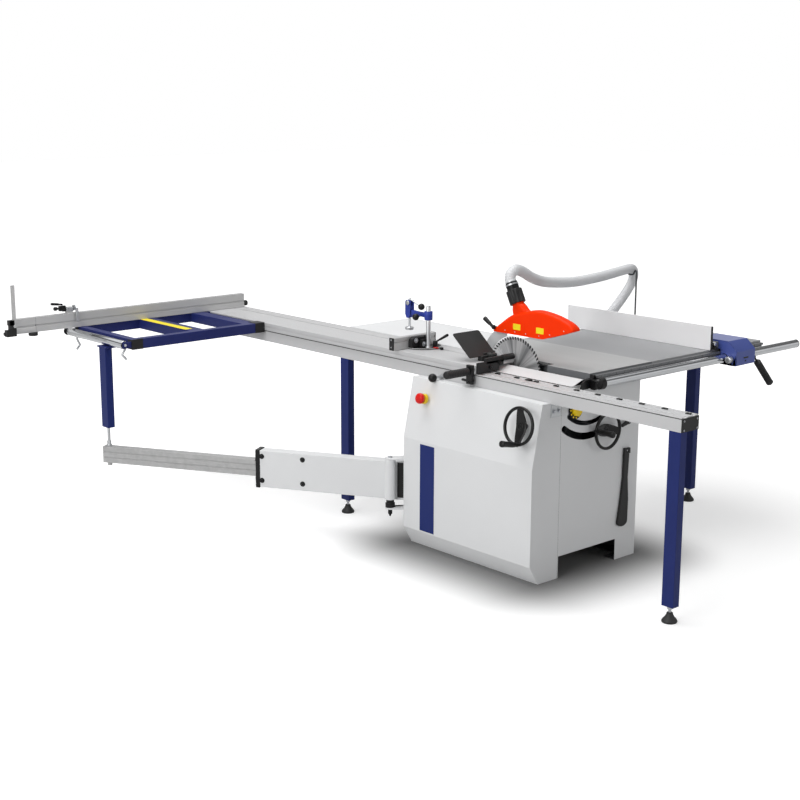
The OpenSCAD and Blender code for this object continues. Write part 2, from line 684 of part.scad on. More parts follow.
// Blade guard: hollow red hood with a dust neck, open below
guard_low = table_h + 111;
guard_w = 25;
function guard_side() = [[84, table_h + 178], [110, table_h + 197], [177, table_h + 219],
    [240, table_h + 231], [300, table_h + 233],
    [360, table_h + 221], [446, table_h + 197], [520, table_h + 153], [566, table_h + 120], [566, guard_low + 1],
    [540, guard_low], [252, guard_low + 3], [88, table_h + 167]];
module guard_shell(w, t) hull() {
    translate([-w, 0, 0]) rotate([90, 0, 90]) linear_extrude(2 * w) offset(delta = -t)
        polygon([for (p = guard_side()) [p[0], p[1] - (p[1] > table_h + 185 ? 16 : 0)]]);
    translate([-w * 0.62, 0, 0]) rotate([90, 0, 90]) linear_extrude(1.24 * w) offset(delta = -t)
        polygon(guard_side());
}
spout_y = blade_y - 16;
spout_z = table_h + 235;
spout_tilt = -27;
module at_spout() translate([blade_x, spout_y, spout_z]) rotate([spout_tilt, 0, 0]) children();
module blade_guard() color(guard_red) place() difference() {
    union() {
        translate([blade_x, 0, 0]) guard_shell(guard_w, 0);
        hull() {
            translate([blade_x - 14, spout_y - 60, table_h + 185]) cube([28, 79, 30]);
            at_spout() translate([0, 0, 8]) cylinder(r = 25, h = 1, $fn = 32);
        }
        at_spout() translate([0, 0, 5]) cylinder(r = 26, h = 19, $fn = 32);
    }
    translate([blade_x, 0, 0]) guard_shell(guard_w - 3, 3);
    translate([blade_x - guard_w + 4, 125, guard_low - 2]) cube([2 * guard_w - 8, 405, 14]);
    at_spout() translate([0, 0, -50]) cylinder(r = 19, h = 90, $fn = 32);
    rod_x(blade_x - guard_w - 1, blade_x - guard_w + 9, 545, table_h + 131, 6.1);
    // slot over the riving knife
    translate([blade_x - knife_t / 2 - gap, 470, guard_low - 2]) cube([knife_t + 2 * gap, 120, 60]);
}
module guard_spout() color([0.22, 0.22, 0.23]) place() at_spout() difference() {
    union() {
        translate([0, 0, 14]) cylinder(r = 35, h = 62);
        for (a = [0:30:330]) rotate([0, 0, a]) translate([34, 0, 16]) cylinder(r = 2.6, h = 58, $fn = 12);
        translate([0, 0, 76 - eps]) cylinder(r = 23, h = 26);
        for (z = [80, 88, 96]) translate([0, 0, z]) cylinder(r = 24.5, h = 4);
    }
    translate([0, 0, 13]) cylinder(r = 27, h = 13);
    translate([0, 0, 20]) cylinder(r = 20, h = 90);
}
module guard_lever() color(dark) place() translate([blade_x, 545, table_h + 131]) {
    rod_x(-guard_w - 12, -guard_w - gap, 0, 0, 20);
    rod_x(-guard_w - 2, -guard_w + 8, 0, 0, 6);
    translate([-guard_w - 9, 0, 0]) rotate([-58, 0, 0]) {
        cylinder(d = 9, h = 30);
        translate([0, 0, 28]) cylinder(d1 = 10, d2 = 13, h = 56);
    }
}

// Dust hose: ribbed tube from the guard's spout over the hanger to the cabinet's port
spout_end = [blade_x, spout_y + 102 * sin(27), spout_z + 102 * cos(27)];
// heights are above the working surface
hose_route = [[348, 467.5, 326.3], [348, 477.7, 346.4], [359, 485, 370], [385, 486, 385], [416, 492, 382],
    [460, 501, 366], [542, 521, 332], [643, 548, 305], [789, 586, 284], [962, 631, 269],
    [1187, 690, 264], [1364, 736, 266], [1460, 761, 268], [1545, 783, 268], [1584, 796, 252],
    [1602, 808, 219], [1596, 818, 179], [1560, 826, 129], [1495, 838, 59], [1410, 860, -25],
    [1310, 885, -110], [1200, 905, -185], [1060, 925, -265], [900, 930, -335], [750, 920, -385],
    [620, 900, -417], [552, 870, -431], [520, 836, -435], [520, 805.3, -435]];
hose_points = [for (p = hose_route) [p[0], p[1], p[2] + table_h]];
function cr(p0, p1, p2, p3, t) = 0.5 * (2 * p1 + (p2 - p0) * t + (2 * p0 - 5 * p1 + 4 * p2 - p3) * t * t
    + (3 * p1 - p0 - 3 * p2 + p3) * t * t * t);
hose_n = len(hose_points);
function hp(i) = i < 0 ? 2 * hose_points[0] - hose_points[1]
    : i > hose_n - 1 ? 2 * hose_points[hose_n - 1] - hose_points[hose_n - 2] : hose_points[i];
function hose_at(u) = let (i = min(floor(u), hose_n - 2), t = u - i)
    cr(hp(i - 1), hp(i), hp(i + 1), hp(i + 2), t);
function smooth(p, m) = let (k = len(p) - 1) [for (j = [0:m * k])
    let (i = min(floor(j / m), k - 1), a = max(i - 1, 0), b = min(i + 2, k))
        cr(p[a], p[i], p[i + 1], p[b], j / m - i)];
// parallel frames along the path
function unit(v) = v / norm(v);
function frames(c, i = 1, n = undef, acc = []) =
    let (k = len(c), m = is_undef(n) ? [1, 0, 0] : n,
        t = unit(i < k ? c[i] - c[max(i - 2, 0)] : c[k - 1] - c[k - 2]),
        m2 = unit(m - (m * t) * t))
    i > k ? acc : frames(c, i + 1, m2, concat(acc, [[c[i - 1], m2, cross(t, m2)]]));
module swept(c, r, sides) {
    f = frames(c);
    k = len(c);
    pts = [for (i = [0:k - 1]) for (j = [0:sides - 1]) let (a = j * 360 / sides)
        f[i][0] + r[i] * (cos(a) * f[i][1] + sin(a) * f[i][2])];
    faces = concat([for (i = [0:k - 2]) for (j = [0:sides - 1]) let (a = i * sides + j,
        b = i * sides + (j + 1) % sides,
            c2 = b + sides, d = a + sides) each [[a, c2, b], [a, d, c2]]],
        [for (j = [1:sides - 2]) [0, j, j + 1]], [for (j = [1:sides - 2]) (k - 1) * sides * [1, 1, 1] + [0, j + 1, j]]);
    polyhedron(points = pts, faces = faces, convexity = 10);
}
hose_ribs = 150;
module dust_hose() color([0.92, 0.92, 0.93]) place() difference() {
    rings = 2 * hose_ribs;
    c = [for (i = [0:rings]) hose_at(i * (hose_n - 1) / rings)];
    swept(c, [for (i = [0:rings]) hose_d / 2 - (i % 2 == 0 || i < 5 || i > rings - 5 ? 1.5 : 0)], 8);
    inner = concat([2 * hose_at(0) - hose_at(0.05)], [for (i = [0:80]) hose_at(i * (hose_n - 1) / 80)],
        [2 * hose_at(hose_n - 1) - hose_at(hose_n - 1.05)]);
    swept(inner, [for (i = [0:82]) hose_d / 2 - 1.5 - hose_wall], 8);
}

// Rip fence, its head on the guide tube, lever and fine-adjust knob
fence_t = 12;
head_x = fence_x + 14;
head_w = 138;
module rip_fence() color([0.86, 0.86, 0.87]) place()
    along_y(fence_y, fence_y + fence_l) difference() {
        translate([fence_x, table_h + 1]) square([fence_t, fence_h]);
        translate([fence_x + 3, table_h + 20]) square([10, 14]);
        translate([fence_x + 3, table_h + 60]) square([10, 14]);
    }
module fence_head() color(frame_blue) place() {
    difference() {
        along_x(head_x + 22, head_x + 22 + head_w) polygon([[20, table_h + 1.5], [20, table_h + 40],
            [-64, table_h + 40], [-108, table_h + 2], [-112, table_h - 66],
            [-92, table_h - 68], [-92, table_h - 70], [-23.3, table_h - 70], [-23.3, table_h + 1.5]]);
        rod_x(head_x, head_x + 200, tube_y, tube_z, tube_d + 1);
        block(head_x, head_x + 200, tube_y + 11, -20, tube_z - 14, tube_z + 14);
        rod_y(lever_fx, -120, -97, table_h - 48, 8.1);
        rod_x(head_x + 20, head_x + 38, -86, table_h - 40, 8.1);
        block(head_x + 24, head_x + 20 + head_w, -110, tube_y, table_h - 72, table_h - 60);
    }
    // arm that holds the fence plate
    block(fence_x + fence_t, head_x + 22 + eps, -10, 18, table_h + 4, table_h + 36);
    block(fence_x + fence_t, fence_x + fence_t + 8, -10, 160, table_h + 4, table_h + 56);
}
lever_fx = head_x + 118;
module fence_lever() color(dark) place() translate([lever_fx, -112, table_h - 48]) {
    rod_y(0, -8, 0, 0, 24);
    rod_y(0, -8, 14, 0, 8);
    translate([0, -6, 0]) rotate([-12, 0, 0]) rotate([0, 150, 0]) {
        cylinder(d = 9, h = 56);
        translate([0, 0, 48]) cylinder(d = 22, h = 96);
        for (i = [0:9]) translate([0, 0, 54 + 9 * i]) cylinder(d = 25, h = 4);
    }
}
module fence_knob() color(steel) place() {
    rod_x(head_x + 2, head_x + 22 - gap, -86, table_h - 40, 26);
    rod_x(head_x - 4, head_x + 2 + eps, -86, table_h - 40, 16);
    rod_x(head_x + 2, head_x + 36, -86, table_h - 40, 8);
}

// Carriage: extruded profile with a skirt on the left, a chamber over the track and a T-slot
slot_x = car_x + 164;
module carriage_profile() difference() {
    polygon([[car_x, beam_top + 3], [car_x, table_h - 3], [car_x + 1, table_h - 1], [car_x + 3, table_h],
        [car_r - 1, table_h], [car_r, table_h - 2],
        [car_r, table_h - 5], [car_r - 8, deck_low + gap], [beam_r + 22, deck_low], [beam_r + 14, deck_low - 6],
        [beam_r + 14, beam_top + 3], [beam_r + 4, beam_top + 3], [beam_r + 4, deck_low], [beam_x + 8, deck_low], [beam_x + 8, beam_top + 3]]);
    translate([slot_x - 4, table_h - 4]) square([8, 5]);
    translate([slot_x - 8, table_h - 9]) square([16, 5.5]);
    translate([car_x - 1, table_h - 22]) square([4, 5]);
}
module carriage() color(alu) place() difference() {
    along_y(car_y, car_end) carriage_profile();
    rod_z(slot_x - 20, mitre_y - 14, table_h - 8.5, table_h + 1, 12.1);
}

// Roller cage between the beam's track and the carriage; it travels at half speed
cage_y = 500;
cage_l = 1040;
module roller_cage() color(steel) place() {
    difference() {
        block(beam_x + 50, beam_x + 100, cage_y, cage_y + cage_l, beam_top + 9, beam_top + 13);
        for (i = [0:7]) block(beam_x + 56, beam_x + 94, cage_y + 30 + 140 * i - 15,
            cage_y + 30 + 140 * i + 15, beam_top, beam_top + 20);
    }
    for (i = [0:7]) {
        rod_x(beam_x + 86, beam_x + 93, cage_y + 30 + 140 * i, (beam_top + deck_low) / 2, 25.4);
        rod_x(beam_x + 48, beam_x + 102, cage_y + 30 + 140 * i, beam_top + 11, 4);
        rod_x(beam_x + 57, beam_x + 64, cage_y + 30 + 140 * i, (beam_top + deck_low) / 2, 25.4);
    }
}

// Push handle at the carriage's front end
grip_z = table_h - 25;
module push_handle() color(dark) place() {
    rod_x(-60, 72, 455, grip_z, 30);
    for (i = [0:11]) rod_x(-54 + 10 * i, -50 + 10 * i, 455, grip_z, 32);
    rod_x(70, car_x - 6 + eps, 455, grip_z, 18);
    block(car_x - 16, car_x - gap, 438, 472, table_h - 82, table_h + 2);
    rod_y(car_x - 10, 472, 500, table_h - 68, 12);
    block(car_x + 6, beam_r + 24, car_y - 8, car_y, beam_top + 4, table_h + 12);
    block(beam_r + 24 - eps, beam_r + 52, car_y - 8, car_y, deck_low, table_h + 12);
    block(car_x + 60, beam_r + 52, car_y - 8, car_y + 8, table_h, table_h + 26);
    rod_x(beam_r + 50, 330, car_y, table_h + 16, 27);
    for (x = [car_x + 84, beam_r + 26]) rod_y(x, car_y - 13, car_y - 8 + eps, table_h - 14, 13);
}

// Edging shoe: tilted plate clamped in the T-slot
shoe_tilt = 49.8;
module edging_shoe() color(dark) place() {
    translate([125, 500, table_h + 18]) rotate([90 - shoe_tilt, 0, 0]) hull() for (x = [8, 152], z = [8, 136])
        translate([x, z, 0]) cylinder(r = 8, h = 5, $fn = 32);
    block(190, slot_x + 24, 486, 514, table_h, table_h + 22);
    translate([slot_x - 22, 472, table_h]) rotate_extrude()
        polygon([[0, 0], [16, 0], [16, 20], [22, 22], [22, 32], [18, 36], [0, 36]]);
}

// Mitre fence with quadrant, stop and cap
mitre_y = 938;
quad_r = 90;
module mitre_fence() color(alu) place() {
    along_x(62, 318) difference() {
        translate([mitre_y - 14, table_h + gap]) square([28, 57]);
        translate([mitre_y - 15, table_h + 36]) square([8, 8]);
        translate([mitre_y - 9, table_h + 6]) square([18, 24]);
    }
    // quadrant
    translate([slot_x - 20, mitre_y - 14, table_h + gap]) linear_extrude(5) difference() {
        circle(r = quad_r, $fn = 96);
        translate([-quad_r - 2, eps]) square([2 * quad_r + 4, quad_r + 2]);
        translate([12, -74]) circle(d = 8.1);
    }
    // bracket that joins the quadrant and the fence
    block(slot_x - 46, slot_x + 6, mitre_y - 44, mitre_y - 14 + eps, table_h + 5, table_h + 46);
    rod_z(slot_x - 20, mitre_y - 40, table_h + 5, table_h + 58, 22);
    rod_z(slot_x - 20, mitre_y - 14, table_h - 8, table_h + 5, 12);
}
module mitre_lever() color(dark) place() translate([slot_x - 8, mitre_y - 88, table_h + 5 + 2 * gap]) {
    cylinder(d = 22, h = 30);
    translate([0, 0, -4.5]) cylinder(d = 8, h = 6);
    translate([0, 0, 24]) rotate([62, 0, 0]) {
        cylinder(d = 8, h = 40);
        translate([0, 0, 36]) cylinder(d1 = 10, d2 = 12, h = 58);
    }
}

// Hold-down clamp: column, sliding arm and screw spindle
column_x = 219;
column_y = 864;
module clamp_column() color(steel) place() {
    rod_z(column_x, column_y, table_h + 5 + gap, table_h + 198, 20);
    translate([column_x, column_y, table_h + 5 + gap]) cylinder(d = 30, h = 6);
}
arm_low = table_h + 128;
module clamp_arm() color(frame_blue) place() difference() {
    union() {
        rod_z(column_x, column_y, arm_low + 6, arm_low + 46, 38);
        block(column_x - 9, column_x + 9, column_y + 12, column_y + 120, arm_low + 14, arm_low + 38);
        hull() {
            rod_z(column_x, column_y + 128, arm_low, arm_low + 1, 16);
            rod_z(column_x, column_y + 128, arm_low + 20, arm_low + 80, 34);
        }
    }
    rod_z(column_x, column_y, arm_low - 1, arm_low + 48, 20.6);
    rod_z(column_x, column_y + 128, arm_low - 1, arm_low + 92, 10.6);
}
module clamp_spindle() color(steel) place() {
    rod_z(column_x, column_y + 128, table_h + 80, arm_low + 92, 10);
    rod_z(column_x, column_y + 128, table_h + 74, table_h + 86, 40);
    rod_y(column_x, column_y + 60, column_y + 128, arm_low + 89, 7);
    translate([column_x, column_y + 58, arm_low + 89]) sphere(d = 28);
}

// Outrigger: welded frame, end roller and the post over the swing arm
out_r = car_x - 4;
module outrigger_frame() color(frame_blue) place() {
    z0 = table_h - out_h;
    difference() {
        block(out_x, out_r - 30, out_y, out_y + out_d, z0, table_h);
        block(out_x + out_b, -330, out_y + out_b, out_y + out_d - out_b, z0 - 1, table_h + 1);
        block(-250, -15, out_y + out_b, out_y + out_d - out_b, z0 - 1, table_h + 1);
        // cross member is a channel open below
        block(-327, -253, out_y + out_b + 3, out_y + out_d - out_b - 3, z0 - 1, table_h - 3);
    }
    // corner brackets on the carriage's side
    for (y = [out_y, out_y + out_d - 60]) block(out_r - 30 - eps, car_x - gap, y, y + 60, z0, table_h - 1);
    // roller brackets
    for (y = [out_y + 6, out_y + out_d - 12]) difference() {
        block(roller_x - 12, out_x + eps, y, y + 6, roller_z - 16, roller_z + 14);
        rod_y(roller_x, y - 1, y + 7, roller_z, 12.1);
    }
    // bracket for the post
    block(roller_x - 32, out_x + eps, post_y - 40, post_y + 40, z0 - 6, z0 + 2);
    block(out_x, out_x + out_b, post_y - 40, post_y + 40, z0 - 6, z0 + eps);
}
module outrigger_roller() color([0.80, 0.80, 0.82]) place() {
    rod_y(roller_x, out_y + 14, out_y + out_d - 14, roller_z, roller_d);
    rod_y(roller_x, out_y + 2, out_y + out_d - 2, roller_z, 12);
}
module outrigger_post() color(frame_blue) place() {
    difference() {
        block(post_x - leg_w / 2, post_x + leg_w / 2, post_y - leg_d / 2, post_y + leg_d / 2, arm_z + 135,
            table_h - out_h - 6);
        block(post_x - leg_w / 2 + 2, post_x + leg_w / 2 - 2, post_y - leg_d / 2 + 2,
            post_y + leg_d / 2 - 2, arm_z + 140, table_h - out_h - 10);
    }
    rod_z(post_x, post_y, inner_top + gap, arm_z + 141, 14);
    rod_z(post_x, post_y, inner_top + gap, inner_top + 8, 26);
    rod_z(post_x, post_y, inner_top + 8, inner_top + 26, 20);
}

// Crosscut fence with its telescopic extension and stops
cross_t = 30;
module cross_section() difference() {
    translate([cross_y, table_h + 1]) square([cross_t, cross_h]);
    translate([cross_y - 1, table_h + 30]) square([6, 8]);
    translate([cross_y + 8, table_h + 9]) square([14, cross_h - 18]);
    translate([cross_y + 10, table_h + cross_h - 4]) square([10, 6]);
}
stop_z = table_h + cross_h + 21;
module crosscut_fence() color(alu) place() {
    // ear of the flip stop
    difference() {
        block(-744, -712, cross_y + 5, cross_y + cross_t - 5, table_h + cross_h + 1 - eps, stop_z + 11);
        rod_x(-745, -711, cross_y + cross_t / 2, stop_z, 10.1);
    }
    along_x(cross_x, cross_end) cross_section();
    // pivot block and clamp at the right end
    block(cross_end, cross_end + 12, cross_y + 2, cross_y + cross_t - 2, table_h + 10, table_h + 26);
    block(car_x + 30, car_x + 90, cross_y + cross_t, cross_y + cross_t + 22, table_h, table_h + 30);
}
module fence_extension() color(alu) place() {
    difference() {
        along_x(-1028, cross_x - gap) translate([cross_y, table_h + 1]) square([cross_t, cross_h]);
        block(-1029, cross_x + 1, cross_y - 1, cross_y + 5, table_h + 30, table_h + 38);
    }
    block(cross_x - 1, cross_x + 700, cross_y + 8.5, cross_y + 21.5, table_h + 9.5, table_h + 59.5);
    // lock screw under the extension and the stop block on its end
    rod_z(-975, cross_y + 14, table_h - 8, table_h + 1 + eps, 12);
    rod_z(-975, cross_y + 14, table_h - 18, table_h - 8 + eps, 40);
    difference() {
        block(-1052, -1028 + eps, cross_y - 16, cross_y + 16, table_h + 1, table_h + 62);
        rod_y(-1040, cross_y - 17, cross_y - 3, table_h + 46, 8.1);
    }
    block(-1086, -1052 + eps, cross_y - 12, cross_y + 8, table_h + 1, table_h + 16);
}
module flip_stop() color(steel) place() translate([0, cross_y + cross_t / 2, stop_z]) {
    rod_x(-764, -694, 0, 0, 10);
    along_x(-706, -694) polygon([[-8, -8], [8, -8], [12, 6], [4, 18], [-22, 20], [-34, 6], [-36, -58],
        [-26, -62], [-24, -6], [-18, 2]]);
    rod_x(-764, -746, 0, 0, 20);
    translate([-756, 0, 0]) rotate([25, 0, 0]) cylinder(d = 10, h = 44);
}
module end_stop() color(steel) place() translate([-1040, cross_y - 16, table_h + 46]) {
    block(-10, 10, -5, -gap, -10, 196);
    rod_y(0, -11, -5 + eps, 0, 16);
    rod_y(0, -5, 12, 0, 8);
}

// Swing arm: the sleeve turns on the bracket's pin; the tube telescopes in it
module on_arm() translate([pivot_x, pivot_y, 0]) rotate([0, 0, arm_angle]) translate([0, -arm_offset, 0])
    children();
sleeve_l = 650;
tail_l = 70;
module arm_sleeve() color([0.88, 0.88, 0.88]) place() on_arm() {
    difference() {
        block(-tail_l, sleeve_l, -sleeve_w / 2, sleeve_w / 2, arm_z - sleeve_h / 2, sleeve_top);
        block(-tail_l - 1, sleeve_l + 1, -sleeve_w / 2 + 4, sleeve_w / 2 - 4, arm_z - sleeve_h / 2 + 4,
            sleeve_top - 4);
    }
    // end caps that guide the tube
    for (x = [-tail_l - 8, sleeve_l]) difference() {
        block(x, x + 8, -sleeve_w / 2 - 1, sleeve_w / 2 + 1, arm_z - sleeve_h / 2 - 2, sleeve_top + 2);
        block(x - 1, x + 9, -20.5, 20.5, arm_z - inner_h / 2 - 0.5, inner_top + 0.5);
    }
    // pivot tube and its web
    difference() {
        union() {
            translate([0, arm_offset, arm_z - 80]) cylinder(r = 24, h = sleeve_top + 18.7 - arm_z + 80);
            block(-16, 16, sleeve_w / 2 - eps, arm_offset, arm_z - 78, sleeve_top);
        }
        translate([0, arm_offset, arm_z - 90]) cylinder(d = pivot_d + 0.1, h = 220);
    }
}
module arm_tube() color(alu) place() on_arm() {
    difference() {
        block(540, arm_reach + 26, -20, 20, arm_z - inner_h / 2, inner_top);
        block(539, arm_reach + 27, -16, 16, arm_z - inner_h / 2 + 4, inner_top - 4);
        for (z = [-14, 14]) for (s = [-1, 1]) block(539, arm_reach + 27, s * 20 - 1, s * 20 + 1,
            arm_z + z - 2, arm_z + z + 2);
    }
    translate([arm_reach, 0, arm_z - inner_h / 2 - 16]) cylinder(d = 22, h = 16 + eps);
    translate([arm_reach, 0, arm_z - inner_h / 2 - eps]) cylinder(d = 14, h = inner_h + eps);
}

cabinet_body();
side_cover();
beam_mounts();
main_table();
table_insert();
extension_table();
rear_table();
beam();
beam_end_caps();
support_legs();
levelling_feet();
dust_cover();
guide_tube();
tube_sockets();
scale_rail();
hose_hanger();
dust_port();
arm_bracket();
stop_button_base();
stop_button();
side_handwheel();
front_handwheel();
tilt_lock_knob();
height_lock_lever();
push_stick();
carriage_lock_pin();
saw_cradle();
arbor_carrier();
arbor_shaft();
saw_blade();
motor();
motor_pulley();
drive_belt();
riving_knife();
blade_guard();
guard_spout();
guard_lever();
dust_hose();
rip_fence();
fence_head();
fence_lever();
fence_knob();
carriage();
roller_cage();
push_handle();
edging_shoe();
mitre_fence();
mitre_lever();
clamp_column();
clamp_arm();
clamp_spindle();
outrigger_frame();
outrigger_roller();
outrigger_post();
crosscut_fence();
fence_extension();
flip_stop();
end_stop();
arm_sleeve();
arm_tube();
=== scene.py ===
import json
import math
import bmesh
import bpy
import numpy as np
from mathutils import Matrix, Vector

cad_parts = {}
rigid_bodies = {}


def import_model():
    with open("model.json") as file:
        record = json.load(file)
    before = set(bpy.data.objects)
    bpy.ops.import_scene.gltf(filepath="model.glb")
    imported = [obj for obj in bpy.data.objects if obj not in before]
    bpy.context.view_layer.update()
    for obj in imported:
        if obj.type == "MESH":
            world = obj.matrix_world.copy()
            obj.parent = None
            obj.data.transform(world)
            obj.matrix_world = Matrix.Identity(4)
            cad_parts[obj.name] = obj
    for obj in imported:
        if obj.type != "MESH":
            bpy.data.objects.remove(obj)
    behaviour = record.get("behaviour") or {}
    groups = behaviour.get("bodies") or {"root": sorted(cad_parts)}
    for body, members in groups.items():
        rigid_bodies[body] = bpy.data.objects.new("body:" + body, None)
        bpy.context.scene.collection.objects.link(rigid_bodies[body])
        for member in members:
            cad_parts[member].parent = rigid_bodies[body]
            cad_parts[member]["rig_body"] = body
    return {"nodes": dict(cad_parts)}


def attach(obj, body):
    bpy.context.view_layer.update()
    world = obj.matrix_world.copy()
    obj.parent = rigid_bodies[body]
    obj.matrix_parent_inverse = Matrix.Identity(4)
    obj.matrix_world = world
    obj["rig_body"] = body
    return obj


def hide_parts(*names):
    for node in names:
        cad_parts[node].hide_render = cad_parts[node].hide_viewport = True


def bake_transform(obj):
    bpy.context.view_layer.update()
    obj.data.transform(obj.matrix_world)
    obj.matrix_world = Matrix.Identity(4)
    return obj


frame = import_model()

scene = bpy.context.scene
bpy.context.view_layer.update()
origin = np.array([0.340, 0.3875, 0.0])
print("stage 1: frame loaded,", len(frame["nodes"]), "solids")


# camera, where the saw is seen from in front and to its left
cameraSettings = dict(place=(-4.564006, -4.297814, 2.063234), right=(0.74578, -0.66618, 0.00305),
    up=(0.14127, 0.16263, 0.97652), lens=65.16)


def makeCamera(s):
    right = np.array(s["right"]) / np.linalg.norm(s["right"])
    back = np.cross(right, s["up"])
    back /= np.linalg.norm(back)
    up = np.cross(back, right)
    data = bpy.data.cameras.new("sawCamera")
    data.lens, data.sensor_width = s["lens"], 36.0
    data.clip_start, data.clip_end = 0.1, 100.0
    camera = bpy.data.objects.new("sawCamera", data)
    turn = Matrix(np.column_stack([right, up, back]).tolist()).to_4x4()
    camera.matrix_world = Matrix.Translation(s["place"]) @ turn
    scene.collection.objects.link(camera)
    scene.camera = camera


makeCamera(cameraSettings)


# ---- shapes: each part is (points in millimetres, faces, number of its material)
def mm(points):  # millimetres from the cabinet's front left corner, to metres in the saw's frame
    return np.asarray(points, float) / 1000.0 - origin


def gridQuads(n, m, wrapU=False, wrapV=False):
    # quad (i, j) joins the grid's points (i, j), (i+1, j), (i+1, j+1) and (i, j+1)
    i, j = np.meshgrid(np.arange(n if wrapU else n - 1), np.arange(m if wrapV else m - 1), indexing="ij")
    i2, j2 = (i + 1) % n, (j + 1) % m
    return np.stack([i * m + j, i2 * m + j, i2 * m + j2, i * m + j2], -1).reshape(-1, 4)


def gridPart(points, wrapU=False, wrapV=False, caps=False, mat=0):
    n, m = points.shape[:2]
    faces = gridQuads(n, m, wrapU, wrapV).tolist()
    if caps:
        faces += [list(range(m))[::-1], list(range((n - 1) * m, n * m))]
    return points.reshape(-1, 3), faces, mat


def unit(v):
    v = np.asarray(v, float)
    return v / np.linalg.norm(v, axis=-1, keepdims=True)


def circle(n):
    return np.linspace(0, 2 * np.pi, n, endpoint=False)


def eased(v, power):
    return np.sign(v) * np.abs(v) ** power


xPlus, yPlus, zPlus = (1, 0, 0), (0, 1, 0), (0, 0, 1)
xMinus, yMinus, zMinus = (-1, 0, 0), (0, -1, 0), (0, 0, -1)


def ringRound(axis, t):
    # the axis as a unit vector, and the directions across it at each angle of t
    axis = unit(axis)
    helper = zPlus if abs(axis[2]) < 0.9 else xPlus
    side = unit(np.cross(helper, axis))
    other = np.cross(axis, side)
    return axis, np.cos(t)[:, None] * side + np.sin(t)[:, None] * other


def turned(profile, base=(0, 0, 0), axis=(0, 0, 1), sides=40, mat=0):
    # point (i, j) = base + height_i along the axis + radius_i at angle t_j across it
    p = np.array(profile, float)
    axis, ring = ringRound(axis, circle(sides))
    points = np.array(base, float) + p[:, 1][:, None, None] * axis + p[:, 0][:, None, None] * ring[None]
    return gridPart(points, wrapV=True, caps=True, mat=mat)


def swept(section, path, up=(0, 0, 1), mat=0, closed=False, scale=None):
    # point (i, j) = path_i + section_j across the path, one way along side_i and the other along lift_i
    path, section = np.array(path, float), np.array(section, float)
    if closed:
        tangent = unit(np.roll(path, -1, 0) - np.roll(path, 1, 0))
    else:
        tangent = unit(np.gradient(path, axis=0))
    side = unit(np.cross(tangent, np.broadcast_to(np.array(up, float), tangent.shape)))
    lift = np.cross(side, tangent)
    k = np.ones(len(path)) if scale is None else np.array(scale, float)
    points = (path[:, None] + k[:, None, None] * (section[None, :, 0, None] * side[:, None] + section[None, :, 1, None]
        * lift[:, None]))
    return gridPart(points, wrapU=closed, wrapV=True, caps=not closed, mat=mat)


def disc(radius, sides=16, flat=1.0):
    t = circle(sides)
    return np.column_stack([radius * np.cos(t), radius * flat * np.sin(t)])


def roundedBox(w, h, r, steps=5):
    # outline of a w by h rectangle whose corners are arcs of radius r
    a = np.linspace(0, np.pi / 2, steps)
    quarter = np.column_stack([np.cos(a), np.sin(a)]) * r
    turnBy = lambda k: np.array([[np.cos(k), np.sin(k)], [-np.sin(k), np.cos(k)]])
    centres = [(w / 2 - r, h / 2 - r), (r - w / 2, h / 2 - r), (r - w / 2, r - h / 2), (w / 2 - r, r - h / 2)]
    return np.vstack([quarter @ turnBy(i * np.pi / 2) + c for i, c in enumerate(centres)])


def prism(outline, axis, lo, hi, mat=0):
    # the outline's two numbers are the other two axes in order; it is drawn from lo to hi along the axis
    o = np.array(outline, float)
    k = "xyz".index(axis)
    rest = [i for i in range(3) if i != k]
    points = np.zeros((2, len(o), 3))
    points[:, :, rest[0]], points[:, :, rest[1]] = o[:, 0], o[:, 1]
    points[0, :, k], points[1, :, k] = lo, hi
    return gridPart(points, wrapV=True, caps=True, mat=mat)


def box(x0, x1, y0, y1, z0, z1, mat=0):
    return prism([(y0, z0), (y1, z0), (y1, z1), (y0, z1)], "x", x0, x1, mat)


def moved(parts, place, xAxis=(1, 0, 0), yAxis=(0, 1, 0), zAxis=(0, 0, 1)):
    # local (x, y, z) goes to place + x xAxis + y yAxis + z zAxis
    turn = np.array([xAxis, yAxis, zAxis], float)
    return [(np.asarray(v) @ turn + np.array(place, float), f, m) for v, f, m in parts]


def smoothLine(points, steps):
    # cubic through the points, with steps pieces between each two
    p = np.array(points, float)
    q = np.vstack([2 * p[0] - p[1], p, 2 * p[-1] - p[-2]])
    u = np.linspace(0, len(p) - 1, (len(p) - 1) * steps + 1)
    i = np.minimum(u.astype(int), len(p) - 2)
    t = (u - i)[:, None]
    a, b, c, d = q[i], q[i + 1], q[i + 2], q[i + 3]
    return 0.5 * (2 * b + (c - a) * t + (2 * a - 5 * b + 4 * c - d) * t ** 2 + (3 * b - a - 3 * c + d) * t ** 3)


def spaced(line, step):
    # the same line again with points an equal length apart
    s = np.r_[0, np.cumsum(np.linalg.norm(np.diff(line, axis=0), axis=1))]
    n = max(int(round(s[-1] / step)), 2)
    at = np.linspace(0, s[-1], n + 1)
    return np.column_stack([np.interp(at, s, line[:, k]) for k in range(3)])


def smoothed(mesh, angle):
    mesh.polygons.foreach_set("use_smooth", np.ones(len(mesh.polygons), bool))
    mesh.set_sharp_from_angle(angle=math.radians(angle))
    mesh.update()


